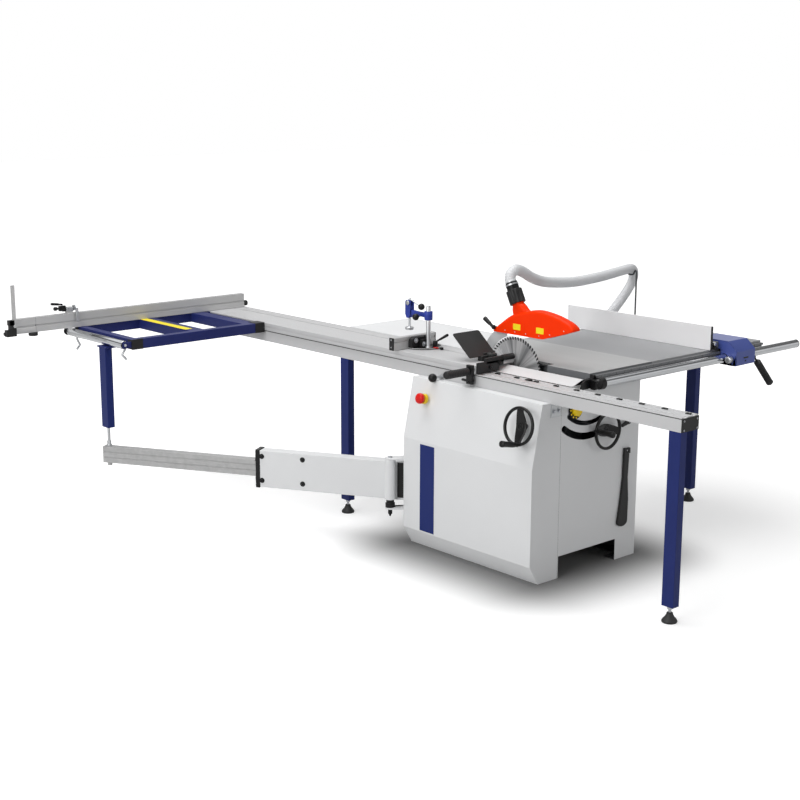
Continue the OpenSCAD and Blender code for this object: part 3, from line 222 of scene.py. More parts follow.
def placed(name, mesh, body, node, bevel, segments, edgeAngle=32):
    # the finished mesh as a piece on its body, with its edges rounded
    piece = bpy.data.objects.new(name, mesh)
    scene.collection.objects.link(piece)
    if bevel:
        edges = piece.modifiers.new("softEdges", "BEVEL")
        edges.width, edges.segments, edges.limit_method = bevel / 1000, segments, "ANGLE"
        edges.angle_limit, edges.use_clamp_overlap = math.radians(edgeAngle), False
        edges.harden_normals = True
    if body:
        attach(piece, body)
    if node:
        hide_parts(node)
    return piece


def makePiece(name, body, parts, materials, node=None, bevel=0.0, segments=2, angle=32, edgeAngle=32):
    points, faces, picks, base = [], [], [], 0
    for v, f, m in parts:
        points.append(np.asarray(v, float))
        faces += [[i + base for i in face] for face in f]
        picks += [m] * len(f)
        base += len(v)
    mesh = bpy.data.meshes.new(name)
    mesh.from_pydata(mm(np.vstack(points)).tolist(), [], faces)
    mesh.polygons.foreach_set("material_index", np.array(picks, np.int32))
    for material in materials.split():
        mesh.materials.append(finishes[material])
    bm = bmesh.new()
    bm.from_mesh(mesh)
    bmesh.ops.remove_doubles(bm, verts=bm.verts, dist=1e-6)
    bmesh.ops.recalc_face_normals(bm, faces=bm.faces)
    bm.to_mesh(mesh)
    bm.free()
    smoothed(mesh, angle)
    return placed(name, mesh, body, node, bevel, segments, edgeAngle)


def softened(node, materials, width=0.8, pick=None, segments=2, angle=30, name=None):
    # a merged copy of the solid with its edges rounded; pick gives each face its material
    first, *more = node.split("_")
    name = name or first + "".join(word.capitalize() for word in more)
    source = frame["nodes"][node]
    mesh = source.data.copy()
    mesh.name = name
    bm = bmesh.new()
    bm.from_mesh(mesh)
    bmesh.ops.remove_doubles(bm, verts=bm.verts, dist=2e-6)
    bmesh.ops.dissolve_degenerate(bm, edges=bm.edges, dist=1e-6)
    bmesh.ops.dissolve_limit(bm, angle_limit=math.radians(0.5), verts=bm.verts, edges=bm.edges)
    bm.to_mesh(mesh)
    bm.free()
    mesh.materials.clear()
    for material in materials.split():
        mesh.materials.append(finishes[material])
    n = len(mesh.polygons)
    picks = np.zeros(n, np.int32)
    if pick:
        centre, normal = np.zeros(n * 3), np.zeros(n * 3)
        mesh.polygons.foreach_get("center", centre)
        mesh.polygons.foreach_get("normal", normal)
        picks = pick((centre.reshape(-1, 3) + origin) * 1000, normal.reshape(-1, 3)).astype(np.int32)
    mesh.polygons.foreach_set("material_index", picks)
    smoothed(mesh, angle)
    return placed(name, mesh, source["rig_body"], node, width, segments)


# ---- finishes
def srgb(r, g, b):
    c = np.array([r, g, b]) / 255.0
    return tuple(np.where(c <= 0.04045, c / 12.92, ((c + 0.055) / 1.055) ** 2.4).tolist()) + (1.0,)


def newMaterial(name):
    material = bpy.data.materials.new(name)
    material.use_nodes = True
    return material, material.node_tree, material.node_tree.nodes["Principled BSDF"]


def feed(tree, target, inputs):
    # each input takes a value, a socket or the first output of a node
    for key, value in inputs.items():
        if isinstance(value, bpy.types.Node):
            value = value.outputs[0]
        if isinstance(value, bpy.types.NodeSocket):
            tree.links.new(value, target.inputs[key])
        else:
            target.inputs[key].default_value = value


def addNode(tree, kind, inputs, **own):
    node = tree.nodes.new("ShaderNode" + kind)
    for key, value in own.items():
        setattr(node, key, value)
    feed(tree, node, inputs)
    return node


def addRamp(tree, value, stops):
    ramp = addNode(tree, "ValToRGB", {"Fac": value})
    elements = ramp.color_ramp.elements
    while len(elements) < len(stops):
        elements.new(0.5)
    for element, (at, colour) in zip(elements, stops):
        element.position, element.color = at, colour
    return ramp


def finish(name, rgb, rough, metal, grain, bump, vary, spots, stretch=(1, 1, 1), roughVary=0.08, coat=0.0,
        coatRough=0.1, depth=0.0004, spec=0.5, clear=0.0):
    # colour drifts by vary over soft patches; fine grain moves the roughness and lifts a small bump
    material, tree, shader = newMaterial(name)
    place = addNode(tree, "TexCoord", {}).outputs["Object"]
    mapping = addNode(tree, "Mapping", {"Vector": place, "Scale": stretch})
    patches = addNode(tree, "TexNoise", {"Vector": mapping, "Scale": spots, "Detail": 4.0})
    low, high = (tuple(min(c * k, 1.0) for c in srgb(*rgb)[:3]) + (1.0,) for k in (1 - vary, 1 + vary))
    fine = addNode(tree, "TexNoise", {"Vector": mapping, "Scale": grain, "Detail": 3.0})
    gloss = addNode(tree, "MapRange", {"Value": fine, "To Min": max(rough - roughVary, 0.02),
        "To Max": min(rough + roughVary, 1.0)})
    lift = addNode(tree, "Bump", {"Height": fine, "Strength": bump, "Distance": depth})
    feed(tree, shader, {"Base Color": addRamp(tree, patches, ((0.3, low), (0.7, high))), "Roughness": gloss,
        "Normal": lift, "Metallic": metal, "Specular IOR Level": spec, "Coat Weight": coat,
        "Coat Roughness": coatRough})
    if clear:
        feed(tree, shader, {"Transmission Weight": clear, "IOR": 1.35})
    return material


# colour, roughness, metal, grain, bump, colour drift and patches, then what differs from the defaults
finishTable = dict(
    whitePaint=((222, 223, 224), 0.42, 0, 420, 0.12, 0.012, 3, dict(roughVary=0.05)),
    innerPaint=((46, 47, 50), 0.75, 0, 200, 0.1, 0.05, 6, dict()),
    headPaint=((68, 84, 156), 0.4, 0, 420, 0.08, 0.05, 5, dict(coat=0.5, coatRough=0.14, spec=0.3)),
    bluePaint=((30, 39, 98), 0.46, 0, 420, 0.08, 0.05, 5, dict(coat=0.14, coatRough=0.2, spec=0.22)),
    deepBluePaint=((26, 40, 102), 0.42, 0, 420, 0.12, 0.05, 5, dict(spec=0.22)),
    clampBlue=((42, 60, 150), 0.4, 0, 300, 0.15, 0.06, 20, dict(spec=0.35)),
    panelBlue=((24, 40, 104), 0.4, 0, 300, 0.04, 0.02, 6, dict(spec=0.2)),
    guardOrange=((255, 54, 0), 0.34, 0, 260, 0.04, 0.02, 8, dict(spec=0.1)),
    plainYellow=((250, 226, 20), 0.45, 0, 300, 0.05, 0.03, 30, dict()),
    stopYellow=((244, 208, 14), 0.38, 0, 260, 0.08, 0.04, 20, dict()),
    stopRed=((212, 20, 12), 0.3, 0, 260, 0.05, 0.04, 20, dict(spec=0.3)),
    blackPlastic=((26, 26, 27), 0.42, 0, 520, 0.3, 0.1, 18, dict(spec=0.35)),
    glossBlack=((17, 17, 18), 0.3, 0, 400, 0.08, 0.08, 18, dict(spec=0.28)),
    gripRubber=((30, 30, 31), 0.55, 0, 600, 0.35, 0.1, 22, dict()),
    stripRubber=((38, 38, 39), 0.68, 0, 300, 0.2, 0.1, 6, dict()),
    plateBlack=((42, 43, 43), 0.5, 0, 420, 0.18, 0.06, 9, dict(spec=0.3)),
    castGrey=((112, 114, 117), 0.62, 0, 150, 0.5, 0.1, 9, dict(depth=0.0008)),
    darkCasting=((70, 72, 75), 0.6, 0, 150, 0.5, 0.1, 9, dict(depth=0.0008)),
    greyPlastic=((120, 122, 124), 0.45, 0, 300, 0.1, 0.05, 12, dict()),
    knifeSteel=((202, 203, 204), 0.5, 0.3, 200, 0.1, 0.04, 6, dict()),
    carbide=((62, 63, 65), 0.45, 0.3, 300, 0.1, 0.06, 6, dict()),
    brushedSteel=((178, 180, 183), 0.32, 1, 120, 0.15, 0.06, 6, dict(stretch=(1, 1, 12))),
    zincSteel=((196, 198, 200), 0.34, 1, 260, 0.12, 0.06, 30, dict()),
    chrome=((214, 216, 219), 0.12, 1, 90, 0.03, 0.03, 6, dict(roughVary=0.03)),
    boltSteel=((186, 188, 192), 0.3, 1, 300, 0.1, 0.05, 60, dict()),
    profileLong=((200, 200, 201), 0.42, 0.16, 300, 0.2, 0.04, 6, dict(stretch=(1, 0.03, 1), roughVary=0.1)),
    profileCross=((190, 190, 190), 0.44, 0.35, 300, 0.2, 0.04, 6, dict(stretch=(0.03, 1, 1), roughVary=0.1)),
    fencePlate=((238, 238, 239), 0.4, 0.1, 300, 0.15, 0.02, 6, dict(stretch=(1, 0.03, 1))),
    trackPlate=((212, 213, 214), 0.38, 0.35, 300, 0.12, 0.02, 6, dict(stretch=(1, 0.03, 1))),
    groundIron=((174, 175, 175), 0.46, 0.04, 340, 0.16, 0.07, 7, dict(stretch=(1, 0.05, 1), roughVary=0.1)),
    tablePaint=((157, 158, 160), 0.46, 0.18, 420, 0.12, 0.03, 5, dict()),
    armAlu=((176, 176, 176), 0.46, 0.25, 240, 0.16, 0.08, 40, dict()),
    rearPaint=((226, 227, 228), 0.42, 0, 420, 0.1, 0.012, 4, dict()),
    hosePlastic=((232, 233, 235), 0.34, 0, 200, 0.08, 0.02, 12, dict(coat=0.2, clear=0.25)),
)
finishes = {name: finish(name, *row[:-1], **row[-1]) for name, row in finishTable.items()}


def bladeFinish(name, centre):
    # turned rings round the arbor as a bump; light and dark spokes by angle are painted sheen in the colour, standing
    # in for how a ground blade reflects the light
    material = finish(name, (196, 197, 199), 0.36, 0.6, 300, 0.05, 0.03, 14)
    tree = material.node_tree
    place = addNode(tree, "TexCoord", {}).outputs["Object"]
    mapping = addNode(tree, "Mapping", {"Vector": place, "Location": tuple(-c for c in centre)})
    rings = addNode(tree, "TexWave", {"Vector": mapping, "Scale": 190.0, "Distortion": 0.6}, wave_type="RINGS",
        rings_direction="X")
    lift = addNode(tree, "Bump", {"Height": rings, "Strength": 0.2, "Distance": 0.0002})
    split = addNode(tree, "SeparateXYZ", {"Vector": mapping}).outputs
    angle = addNode(tree, "Math", {0: split["Z"], 1: split["Y"]}, operation="ARCTAN2")
    # painted sheen: the steel's colour goes light and dark by angle round the arbor
    sheenSpokes = addNode(tree, "TexNoise", {"W": angle, "Scale": 2.6, "Detail": 3.0}, noise_dimensions="1D")
    sheenShades = addRamp(tree, sheenSpokes, ((0.36, srgb(152, 153, 155)), (0.6, srgb(236, 236, 237))))
    feed(tree, tree.nodes["Principled BSDF"], {"Normal": lift, "Base Color": sheenShades})
    return material


def scaleFinish(name, rgb):
    # ruled ticks every five millimetres along the rail, longer each fifty
    material = finish(name, rgb, 0.4, 0.4, 300, 0.1, 0.03, 6)
    tree = material.node_tree
    shader = tree.nodes["Principled BSDF"]
    split = addNode(tree, "SeparateXYZ", {"Vector": addNode(tree, "TexCoord", {}).outputs["Object"]}).outputs
    calc = lambda kind, a, b: addNode(tree, "Math", {0: a, 1: b}, operation=kind)
    ticks = [calc("MULTIPLY", calc("LESS_THAN", calc("PINGPONG", split["X"], every), wide),
        calc("GREATER_THAN", split["Z"], above)) for every, wide,
        above in ((0.005, 0.0007, 0.8515), (0.025, 0.0012, 0.8435))]
    old = shader.inputs["Base Color"].links[0].from_socket
    mix = addNode(tree, "Mix", {"Factor": calc("MAXIMUM", *ticks), 6: old, 7: srgb(40, 40, 42)}, data_type="RGBA")
    feed(tree, shader, {"Base Color": mix.outputs[2]})
    return material


finishes["bladeSteel"] = bladeFinish("bladeSteel", (0.008, 0.0495, 0.805))
finishes["rulerAlu"] = scaleFinish("rulerAlu", (206, 207, 209))
finishes["railScale"] = scaleFinish("railScale", (128, 129, 131))
print("stage 2: finishes made")


# ---- dust hose: one ribbed tube in three lengths, so that it follows the guard
hoseSettings = dict(diameter=50.0, ribStep=9.5, ribDepth=2.6, sides=20)
hosePoints = [(348, 467.5, 1191.3), (348, 477.7, 1211.4), (359, 485, 1235), (385, 486, 1250), (416, 492, 1247),
    (460, 501, 1231), (542, 521, 1197), (643, 548, 1170), (789, 586, 1149), (962, 631, 1134), (1187, 690, 1129),
    (1364, 736, 1131), (1460, 761, 1133), (1545, 783, 1133), (1584, 796, 1117), (1602, 808, 1084), (1596, 818, 1044),
    (1560, 826, 994), (1495, 838, 924), (1410, 860, 840), (1310, 885, 755), (1200, 905, 680), (1060, 925, 600),
    (900, 930, 530), (750, 920, 480), (620, 900, 448), (552, 870, 434), (520, 836, 430), (520, 805.3, 430)]


def hoseLine(s):
    # the route with four points to each rib
    return spaced(smoothLine(hosePoints, 24), s["ribStep"] / 4)


def frameAlong(line):
    # side and lift of each point, turned as little as possible from one to the next
    tangent = unit(np.gradient(line, axis=0))
    side = np.zeros_like(line)
    side[0] = unit(np.cross(tangent[0], [0.0, 1.0, 0.0]))
    for i in range(1, len(line)):  # carried along the route
        side[i] = unit(side[i - 1] - tangent[i] * np.dot(side[i - 1], tangent[i]))
    return side, np.cross(tangent, side)


def hoseLength(name, line, side, lift, first, last, s, body):
    # point (i, j) = line_i + (radius - ribDepth (1 - rib_i)) at angle t_j, where rib_i goes 0, 0.75, 1, 0.75
    index = np.arange(first, last + 1)
    rib = np.array([0.0, 0.75, 1.0, 0.75])[index % 4]
    radius = s["diameter"] / 2 - s["ribDepth"] * (1 - rib)
    t = circle(s["sides"])
    ring = np.cos(t)[None, :, None] * side[index][:, None] + np.sin(t)[None, :, None] * lift[index][:, None]
    points = line[index][:, None] + radius[:, None, None] * ring
    piece = makePiece(name, body, [gridPart(points, wrapV=True, caps=True)], "hosePlastic", angle=75)
    return piece, line[index[::4] if index[-1] % 4 == 0 else np.r_[index[::4], index[-1]]]


def pathLength(path):
    return float(np.linalg.norm(np.diff(path, axis=0), axis=1).sum())


hoseWay = hoseLine(hoseSettings)
hoseSide, hoseLift = frameAlong(hoseWay)
nearest = lambda p: int(round(np.argmin(np.linalg.norm(hoseWay - np.array(p, float), axis=1)) / 4.0)) * 4
hoseCuts = [0, nearest((597, 536, 1181)), nearest((1545, 783, 1133)), len(hoseWay) - 1]
hoseCords = []
for cordName, a, b, rides in (("hoseNeck", hoseCuts[0], hoseCuts[1], None),
        ("hoseSpan", hoseCuts[1], hoseCuts[2], None), ("hoseDrop", hoseCuts[2], hoseCuts[3], "base")):
    piece, way = hoseLength(cordName, hoseWay, hoseSide, hoseLift, a, b, hoseSettings, rides)
    hoseCords.append((piece, mm(way)))
hoseNeck, hoseSpan, hoseDrop = (c[0] for c in hoseCords)
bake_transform(hoseNeck)
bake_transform(hoseSpan)
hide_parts("dust_hose")
print("stage 3: dust hose,", round(sum(pathLength(w) for _, w in hoseCords), 2), "m long")


# ---- small fasteners
def capScrew(place, axis, radius=5.0, height=5.0, mat=0):
    # turned head with a rounded rim and a socket in its top
    profile = [(radius * 0.96, -0.5), (radius, 0.6), (radius, height * 0.78), (radius * 0.84, height),
        (radius * 0.52, height), (radius * 0.46, height * 0.9), (radius * 0.46, height * 0.35), (0.01, height * 0.3)]
    return turned(profile, place, axis, 20, mat)


def hexBolt(place, axis, across=13.0, height=6.0, mat=0):
    # washer under a six-sided head with a chamfered top
    r = across / 2 / math.cos(math.pi / 6)
    return [turned([(across * 0.95, -0.3), (across * 0.95, 1.5), (across * 0.5, 1.6)], place, axis, 24, mat),
        turned([(r, 1.0), (r, height * 0.8), (r * 0.82, height)], place, axis, 6, mat)]


def rivet(place, axis, radius=3.0, height=1.6, mat=0):
    return turned([(radius, -0.5), (radius * 0.98, height * 0.3), (radius * 0.72, height * 0.8),
        (radius * 0.3, height)], place, axis, 16, mat)


def shifted(name, change):
    # moves each vertex of a finished piece by change(x, y, z), all in millimetres
    for vertex in bpy.data.objects[name].data.vertices:
        vertex.co += Vector(np.array(change(*((np.array(vertex.co) + origin) * 1000)), float) / 1000)


# ---- cabinet, its cover and the plates on it
cabinetSettings = dict(wide=680.0, deep=775.0)


def cabinetPick(c, n, s=cabinetSettings):
    front = (c[:, 1] < 3) & (n[:, 1] > 0.5)
    back = (c[:, 1] > s["deep"] - 3) & (n[:, 1] < -0.5)
    right = (c[:, 0] > 670) & (n[:, 0] < -0.5)
    middle = (c[:, 1] > 4) & (c[:, 1] < s["deep"] - 4) & (c[:, 0] < s["wide"] - 3)
    return np.where(front | back | right | middle, 1, 0)


softened("cabinet_body", "whitePaint innerPaint", 0.9, cabinetPick, name="cabinetWalls")
softened("side_cover", "whitePaint innerPaint", 1.2,
    lambda c, n: np.where((n[:, 0] > 0.6) & (c[:, 0] < 160), 1, 0))
coverSettings = dict(low=502.0, high=766.0, raised=7.0, longer=12.0)


def coverFit(x, y, z, s=coverSettings):
    # the sloped upper part reaches up under the beam, and the rear edge a little further back
    k = max(z - s["low"], 0) / (s["high"] - s["low"])
    return (0, s["longer"] if y > 766 else 0, s["raised"] * k if x < 55 * k + 12 else 0)


shifted("sideCover", coverFit)
makePiece("bluePanel", "base", [box(-0.9, 0.3, 585, 677, 90, 489)], "panelBlue", bevel=0.4)
makePiece("coverLedge", "base", [box(57, 101, 3, 772, 771.6, 772.4)], "whitePaint")
softened("beam_mounts", "stripRubber zincSteel", 0.8, pick=lambda c, n: np.where(c[:, 1] < -0.5, 1, 0))
makePiece("beamMountBolts", "base", [p for x in (120, 150) for p in hexBolt((x, -5, 736), yMinus, 13, 8)]
    + [capScrew((135, -24, 761), zMinus, 5, 4)], "boltSteel")

serviceDoor = dict(y=(150, 640), z=(150, 700), thick=2.0, slots=9)


def doorParts(s):
    y0, y1, z0, z1 = *s["y"], *s["z"]
    outline = roundedBox(y1 - y0, z1 - z0, 14, 6) + [(y0 + y1) / 2, (z0 + z1) / 2]
    parts = [prism(outline, "x", 680.1, 680.1 + s["thick"], 0)]
    for i in range(s["slots"]):
        z = z0 + 60 + 17 * i
        louvre = [(681.5, z), (686.5, z + 1.5), (686.9, z + 3), (681.5, z + 9)]
        parts.append(prism([(a, b) for a, b in louvre], "y", y0 + 150, y1 - 150, 0))
        # a dark strip under each louvre is painted shade, standing in for the shadowed slot behind it
        parts.append(prism([(681.9, z - 2.4), (682.5, z - 2.4), (682.5, z + 0.2), (681.9, z + 0.2)], "y", y0 + 154,
            y1 - 154, 1))
    parts.append(turned([(13, 0), (13, 3), (11, 4.5), (4, 4.6), (3.6, 3.2), (0.01, 3.1)], (682, y1 - 40, (z0 + z1) / 2),
        xPlus, 32, 2))
    parts += [capScrew((682, y, z), xPlus, 5.5, 3.5, 3) for y in (y0 + 24, y1 - 24) for z in (z0 + 24, z1 - 24)]
    return parts


makePiece("serviceDoor", "base", doorParts(serviceDoor), "whitePaint innerPaint blackPlastic boltSteel", bevel=0.5)

# ---- tables
softened("main_table", "groundIron castGrey", 0.9,
    lambda c, n: np.where((n[:, 2] > 0.9) & (c[:, 2] > 864), 0, 1))
softened("extension_table", "tablePaint", 1.2)
softened("rear_table", "rearPaint", 1.2)
softened("table_insert", "gripRubber", 0.5)
softened("dust_cover", "whitePaint", 0.6)
makePiece("tableScrews", "base", [capScrew((364, y, 863.2), zPlus, 5, 1.4) for y in (260, 670)]
    + [capScrew((x, -0.2, 843), yMinus, 5.5, 4) for x in (420, 700)]
    + [p for y in (90, 385, 690) for p in hexBolt((1569.6, y, 845), xPlus, 10, 5)], "boltSteel")
print("stage 4: cabinet and tables")


# ---- beam, track and legs
def beamPick(c, n):
    top = (n[:, 2] > 0.9) & (c[:, 2] > 824)
    # the groove's faces take the dark rubber finish: painted shade inside the groove along the beam
    groove = (c[:, 0] > 104.5) & (c[:, 0] < 109.5) & (c[:, 2] > 818.5) & (c[:, 2] < 822.5)
    return np.where(groove, 2, np.where(top & (c[:, 0] > 141), 1, 0))


softened("beam", "profileLong trackPlate stripRubber", 0.5, beamPick, name="beamProfile")
tabPlaces = np.arange(-632, 2150, 113.0)
makePiece("trackTabs", "base", [prism([(178, y - 11), (192, y - 11), (192, y + 11), (178, y + 11)], "z", 823, 829.4)
    for y in tabPlaces], "blackPlastic", bevel=0.4)
makePiece("trackStop", "base", [box(172, 192, 186, 212, 825.8, 831), box(176, 188, 180, 218, 823, 826.3)],
    "blackPlastic", bevel=0.8)
softened("beam_end_caps", "blackPlastic", 1.0, name="beamCaps")
makePiece("beamCapScrews", "base", [capScrew((x, y, z), (0, d, 0), 4, 2.4) for x in (117, 197) for z in (776, 812)
    for y, d in ((-665, -1), (2203, 1))], "boltSteel")
softened("support_legs", "deepBluePaint", 1.6)
softened("levelling_feet", "gripRubber boltSteel", 0.4, pick=lambda c, n: np.where(c[:, 2] > 24, 1, 0), angle=40)
footPlaces = ((124, -632.5), (124, 1329.5), (1543.0, 358.5))
footDome = [(9, 41), (12, 40), (14, 32), (20, 22), (28, 13), (31, 8), (31.5, 4), (30, 0.4), (24, 0.2)]
makePiece("footDomes", "base", [turned(footDome, (x, y, 0), zPlus, 40, 0) for x, y in footPlaces], "gripRubber",
    angle=40)
softened("scale_rail", "railScale", 0.5)
tubeProfile = [(14, 2), (17, 0.6), (18.4, 0), (20, 1.4), (20, 1433.6), (18.4, 1435), (17, 1434.4), (14, 1433)]
makePiece("guideTube", "base", [turned(tubeProfile, (362, -45, 828), xPlus, 56),
    turned([(0.01, 0), (16.9, 0), (16.9, 5), (20.2, 5), (20.4, 7.6), (19, 9.4), (0.01, 9.8)], (1792, -45, 828), xPlus,
    40, 1)], "chrome blackPlastic", "guide_tube")


def socketParts():
    # moulded clamp: a short collar over the tube end, a domed cap and a heel that reaches back to the rail
    collar = [(20.2, 0), (23, -0.5), (25, 0.8), (25.6, 3.4), (25.6, 20), (27, 22), (27, 26), (25.6, 28.4), (23, 29.4),
        (20.2, 29)]
    cap = [(0.01, -22), (8, -21), (15, -16), (20, -8), (22.4, 1), (22.4, 3), (18, 3)]
    parts = [turned(collar, (345, -45, 828), xPlus, 48), turned(cap, (347, -45, 828), xPlus, 48)]
    parts += [prism([(-54, 808), (-48, 804), (-30, 804), (-22.3, 810), (-22.3, 846), (-32, 846), (-54, 842)], "x", 318,
        340), prism([(300, 846), (296, 816), (304, 808), (364, 808), (364, 838), (352, 861), (342, 861), (338.5, 848)],
        "y", -22.3, -2), prism([(258, 812), (262, 808), (306, 808), (306, 846), (288, 848), (266, 836)], "y", -26, -20)]
    parts += [capScrew((x, -45, 803.5), zMinus, 4.5, 4, 1) for x in (352, 366)]
    parts += [prism([(-31, 816), (-23, 816), (-22.3, 817), (-22.3, 839), (-23, 840), (-31, 840)], "x", 1480, 1510),
        capScrew((1495, -31, 828), yMinus, 5, 3, 1)]
    return parts


makePiece("tubeSockets", "base", socketParts(), "glossBlack boltSteel", "tube_sockets", bevel=0.8)
softened("hose_hanger", "darkCasting", 0.0, angle=50)
softened("dust_port", "blackPlastic", 0.8)
makePiece("dustPortBolts", "base", [capScrew((520 + 62 * math.cos(a), 779, 300 + 62 * math.sin(a)), yPlus, 4.5, 3.6)
    for a in np.radians([35, 145, 215, 325])], "boltSteel")
armPivot, earHeights = (-33.0, 840.0), (396, 164)


def bracketPick(c, n):
    # white plate and ears, black barrel between them, bare end of the pin
    ears = (abs(c[:, 2] - earHeights[0]) < 4.4) | (abs(c[:, 2] - earHeights[1]) < 4.4)
    away = np.hypot(c[:, 0] - armPivot[0], c[:, 1] - armPivot[1]) > 24.5
    return np.where(away | ears, 0, np.where(c[:, 2] > 400.5, 2, 1))


softened("arm_bracket", "whitePaint glossBlack boltSteel", 1.0, pick=bracketPick, angle=40)
makePiece("armBracketBolts", "base", [p for x in (30, 95) for z in (182, 285, 372)
    for p in hexBolt((x, 781, z), yPlus, 13, 7)], "boltSteel")
print("stage 5: beam, legs and brackets")


# ---- controls on the cabinet
slopeSettings = dict(inset=55.0, low=502.0, rise=264.0)
slopeAngle = math.atan2(slopeSettings["inset"], slopeSettings["rise"])
slopeOut = np.array([-math.cos(slopeAngle), 0.0, math.sin(slopeAngle)])
slopeUp = np.array([math.sin(slopeAngle), 0.0, math.cos(slopeAngle)])


def onSlope(y, z, out=0.0, s=slopeSettings):
    # point of the cover's slope at height z, moved out from it
    return np.array([s["inset"] * (z - s["low"]) / s["rise"], y, z]) + slopeOut * out


def turnedFrame(a, b, degrees):
    k = math.radians(degrees)
    return math.cos(k) * a + math.sin(k) * b, math.cos(k) * b - math.sin(k) * a


def wheelParts(d):
    # rim swept round a circle; the spoke is a dished plate that narrows from the hub to the rim
    t = circle(80)
    r = d / 2 - 6
    path = np.column_stack([r * np.cos(t), r * np.sin(t), np.full_like(t, 33.0)])
    section = roundedBox(13, 14, 5.8, 5)
    parts = [swept(section, path, zPlus, 0, closed=True)]
    y = np.linspace(-r, r, 33)
    half = 15 + 13 * np.cos(y / r * np.pi / 2) ** 1.5
    dish = 31.5 - 15.0 * np.cos(y / r * np.pi / 2) ** 2
    u = circle(20)
    sx, sz = eased(np.cos(u), 0.35), eased(np.sin(u), 0.5)
    grid = np.stack([half[:, None] * sx, np.broadcast_to(y[:, None], (33, 20)), dish[:, None] + 4.6 * sz], -1)
    parts += [gridPart(grid, wrapV=True, caps=True), turned([(8.2, 3), (15.6, 3), (17, 4.4), (17, 21), (16, 23.6),
        (11, 25.2), (9.6, 25.2), (9, 23.4), (0.01, 23.2)], sides=40), capScrew((0, 0, 22.8), zPlus, 6.4, 3.2, 0),
        turned([(7, -30), (7, 20)], sides=24, mat=1), turned([(8.5, 30), (9.4, 34), (8, 40), (5.2, 42), (5.2, 48)],
        (0, -r, 0), zPlus, 28, 0)]
    grip = [(0.01, 45.5), (8.6, 45.6), (10.4, 47), (11, 51), (12.4, 62), (12.2, 82), (12.4, 104), (13.6, 118),
        (14, 124), (13, 128), (9.5, 130), (4, 130.2), (3.4, 129), (0.01, 128.8)]
    parts.append(turned(grip, (0, -r, 0), zPlus, 32, 0))
    return parts


for wheelName, node, body, place, out, a, b, spin, reach in (("sideWheel", "side_handwheel", "side_wheel",
        onSlope(66, 671, 18.0), slopeOut, slopeUp, np.array([0.0, 1.0, 0.0]), -84, 48),
        ("frontWheel", "front_handwheel", "front_wheel", np.array([430.82, -2.0, 610.12]), np.array([0.0, -1.0, 0.0]),
        np.array([1.0, 0.0, 0.0]), np.array([0.0, 0.0, 1.0]), -98, 60)):
    xAxis, yAxis = turnedFrame(a, b, spin)
    wheel = wheelParts(165.0)
    wheel.append(turned([(7, -reach), (7, 4)], sides=24, mat=1))
    makePiece(wheelName, body, moved(wheel, place, xAxis, yAxis, out), "glossBlack boltSteel", node,
        angle=40)


def knobParts():
    # dial ring with raised marks round a ribbed hub
    parts = [turned([(6, -12), (6, 1), (40, 1), (42, 2.4), (42, 7), (40.6, 8.4), (30, 8.4), (29, 7.6), (0.01, 7.6)],
        sides=64, mat=0)]
    for a in np.radians(np.arange(0, 360, 30)):
        parts.append(turned([(3.8, 8), (3.8, 9.6), (3, 10.2)], (35.5 * math.cos(a), 35.5 * math.sin(a), 0), zPlus, 16,
            1))
    t = circle(96)
    heights = np.array([7, 9, 16, 20.5, 23, 24])
    radii = np.array([27, 27.5, 27, 26, 23, 15.0])
    flute = 1 + 0.05 * np.cos(12 * t)[None] * np.array([1, 1, 1, 0.8, 0.3, 0])[:, None]
    ring = radii[:, None] * flute
    grid = np.stack([ring * np.cos(t), ring * np.sin(t), np.broadcast_to(heights[:, None], ring.shape)], -1)
    parts.append(gridPart(grid, wrapV=True, caps=True, mat=1))
    return parts


makePiece("tiltDial", "tilt_lock", moved(knobParts(), (255, 0, 725), xPlus, zPlus, yMinus), "glossBlack stopYellow",
    "tilt_lock_knob", angle=36)


def heightLeverParts():
    # boss with a flattened arm that thins to a rounded end
    s = np.linspace(0, 1, 15)
    half = 10.5 - 3.2 * s
    u = circle(18)
    sx, sz = eased(np.cos(u), 0.4), eased(np.sin(u), 0.5)
    tip = np.sqrt(np.clip(1 - np.clip((s - 0.86) / 0.14, 0, 1) ** 2, 0.02, 1))
    grid = np.stack([np.broadcast_to((s * 53)[:, None], (15, 18)), (half * tip)[:, None] * sx,
        13 + 3.4 * sz * tip[:, None]], -1)
    turn = math.radians(195)
    arm = moved([gridPart(grid, wrapV=True, caps=True)], (0, 0, 0), (math.cos(turn), math.sin(turn), 0),
        (-math.sin(turn), math.cos(turn), 0), zPlus)
    return arm + [turned([(5, -14), (5, 0.6), (12, 0.6), (13, 1.8), (13, 9), (11.6, 12), (11.6, 16), (9.6, 17.4),
        (0.01, 17.6)], sides=36), capScrew((0, 0, 17.2), zPlus, 5.4, 4, 1)]


makePiece("heightLever", "height_lock", moved(heightLeverParts(), (596, 0, 622), xPlus, zPlus, yMinus),
    "glossBlack boltSteel", "height_lock_lever", angle=40)
softened("stop_button_base", "stopYellow", 0.6, name="stopBase", angle=40)
shifted("stopBase", lambda x, y, z: 14.0 * slopeOut)
stopCap = [(10, 6), (10, 20), (17, 21.4), (20, 22), (22.6, 23.4), (23.8, 26), (24, 30), (23.4, 34), (21.6, 38),
    (18, 40.6), (12.5, 42.3), (7, 42.9), (0.01, 43)]
makePiece("stopCap", "stop_button", [turned(stopCap, onSlope(676, 687, 14.0), slopeOut, 56)], "stopRed", "stop_button",
    angle=45)
makePiece("stopRing", "base", [turned([(21.5, 13.4), (22.6, 13.6), (22.8, 14.6), (20, 14.9), (15, 14.7), (14.2, 14.2)],
    onSlope(676, 687, 14.0), slopeOut, 48)], "stopYellow")


softened("push_stick", "blackPlastic", 3.0, segments=3, angle=40)


def stickFit(x, y, z):
    # the blade of the stick widens towards its lower end
    k = min(max((410 - z) / 130, 0), 1)
    return (k * (4 + (x - 574) * 0.5), 0, 0)


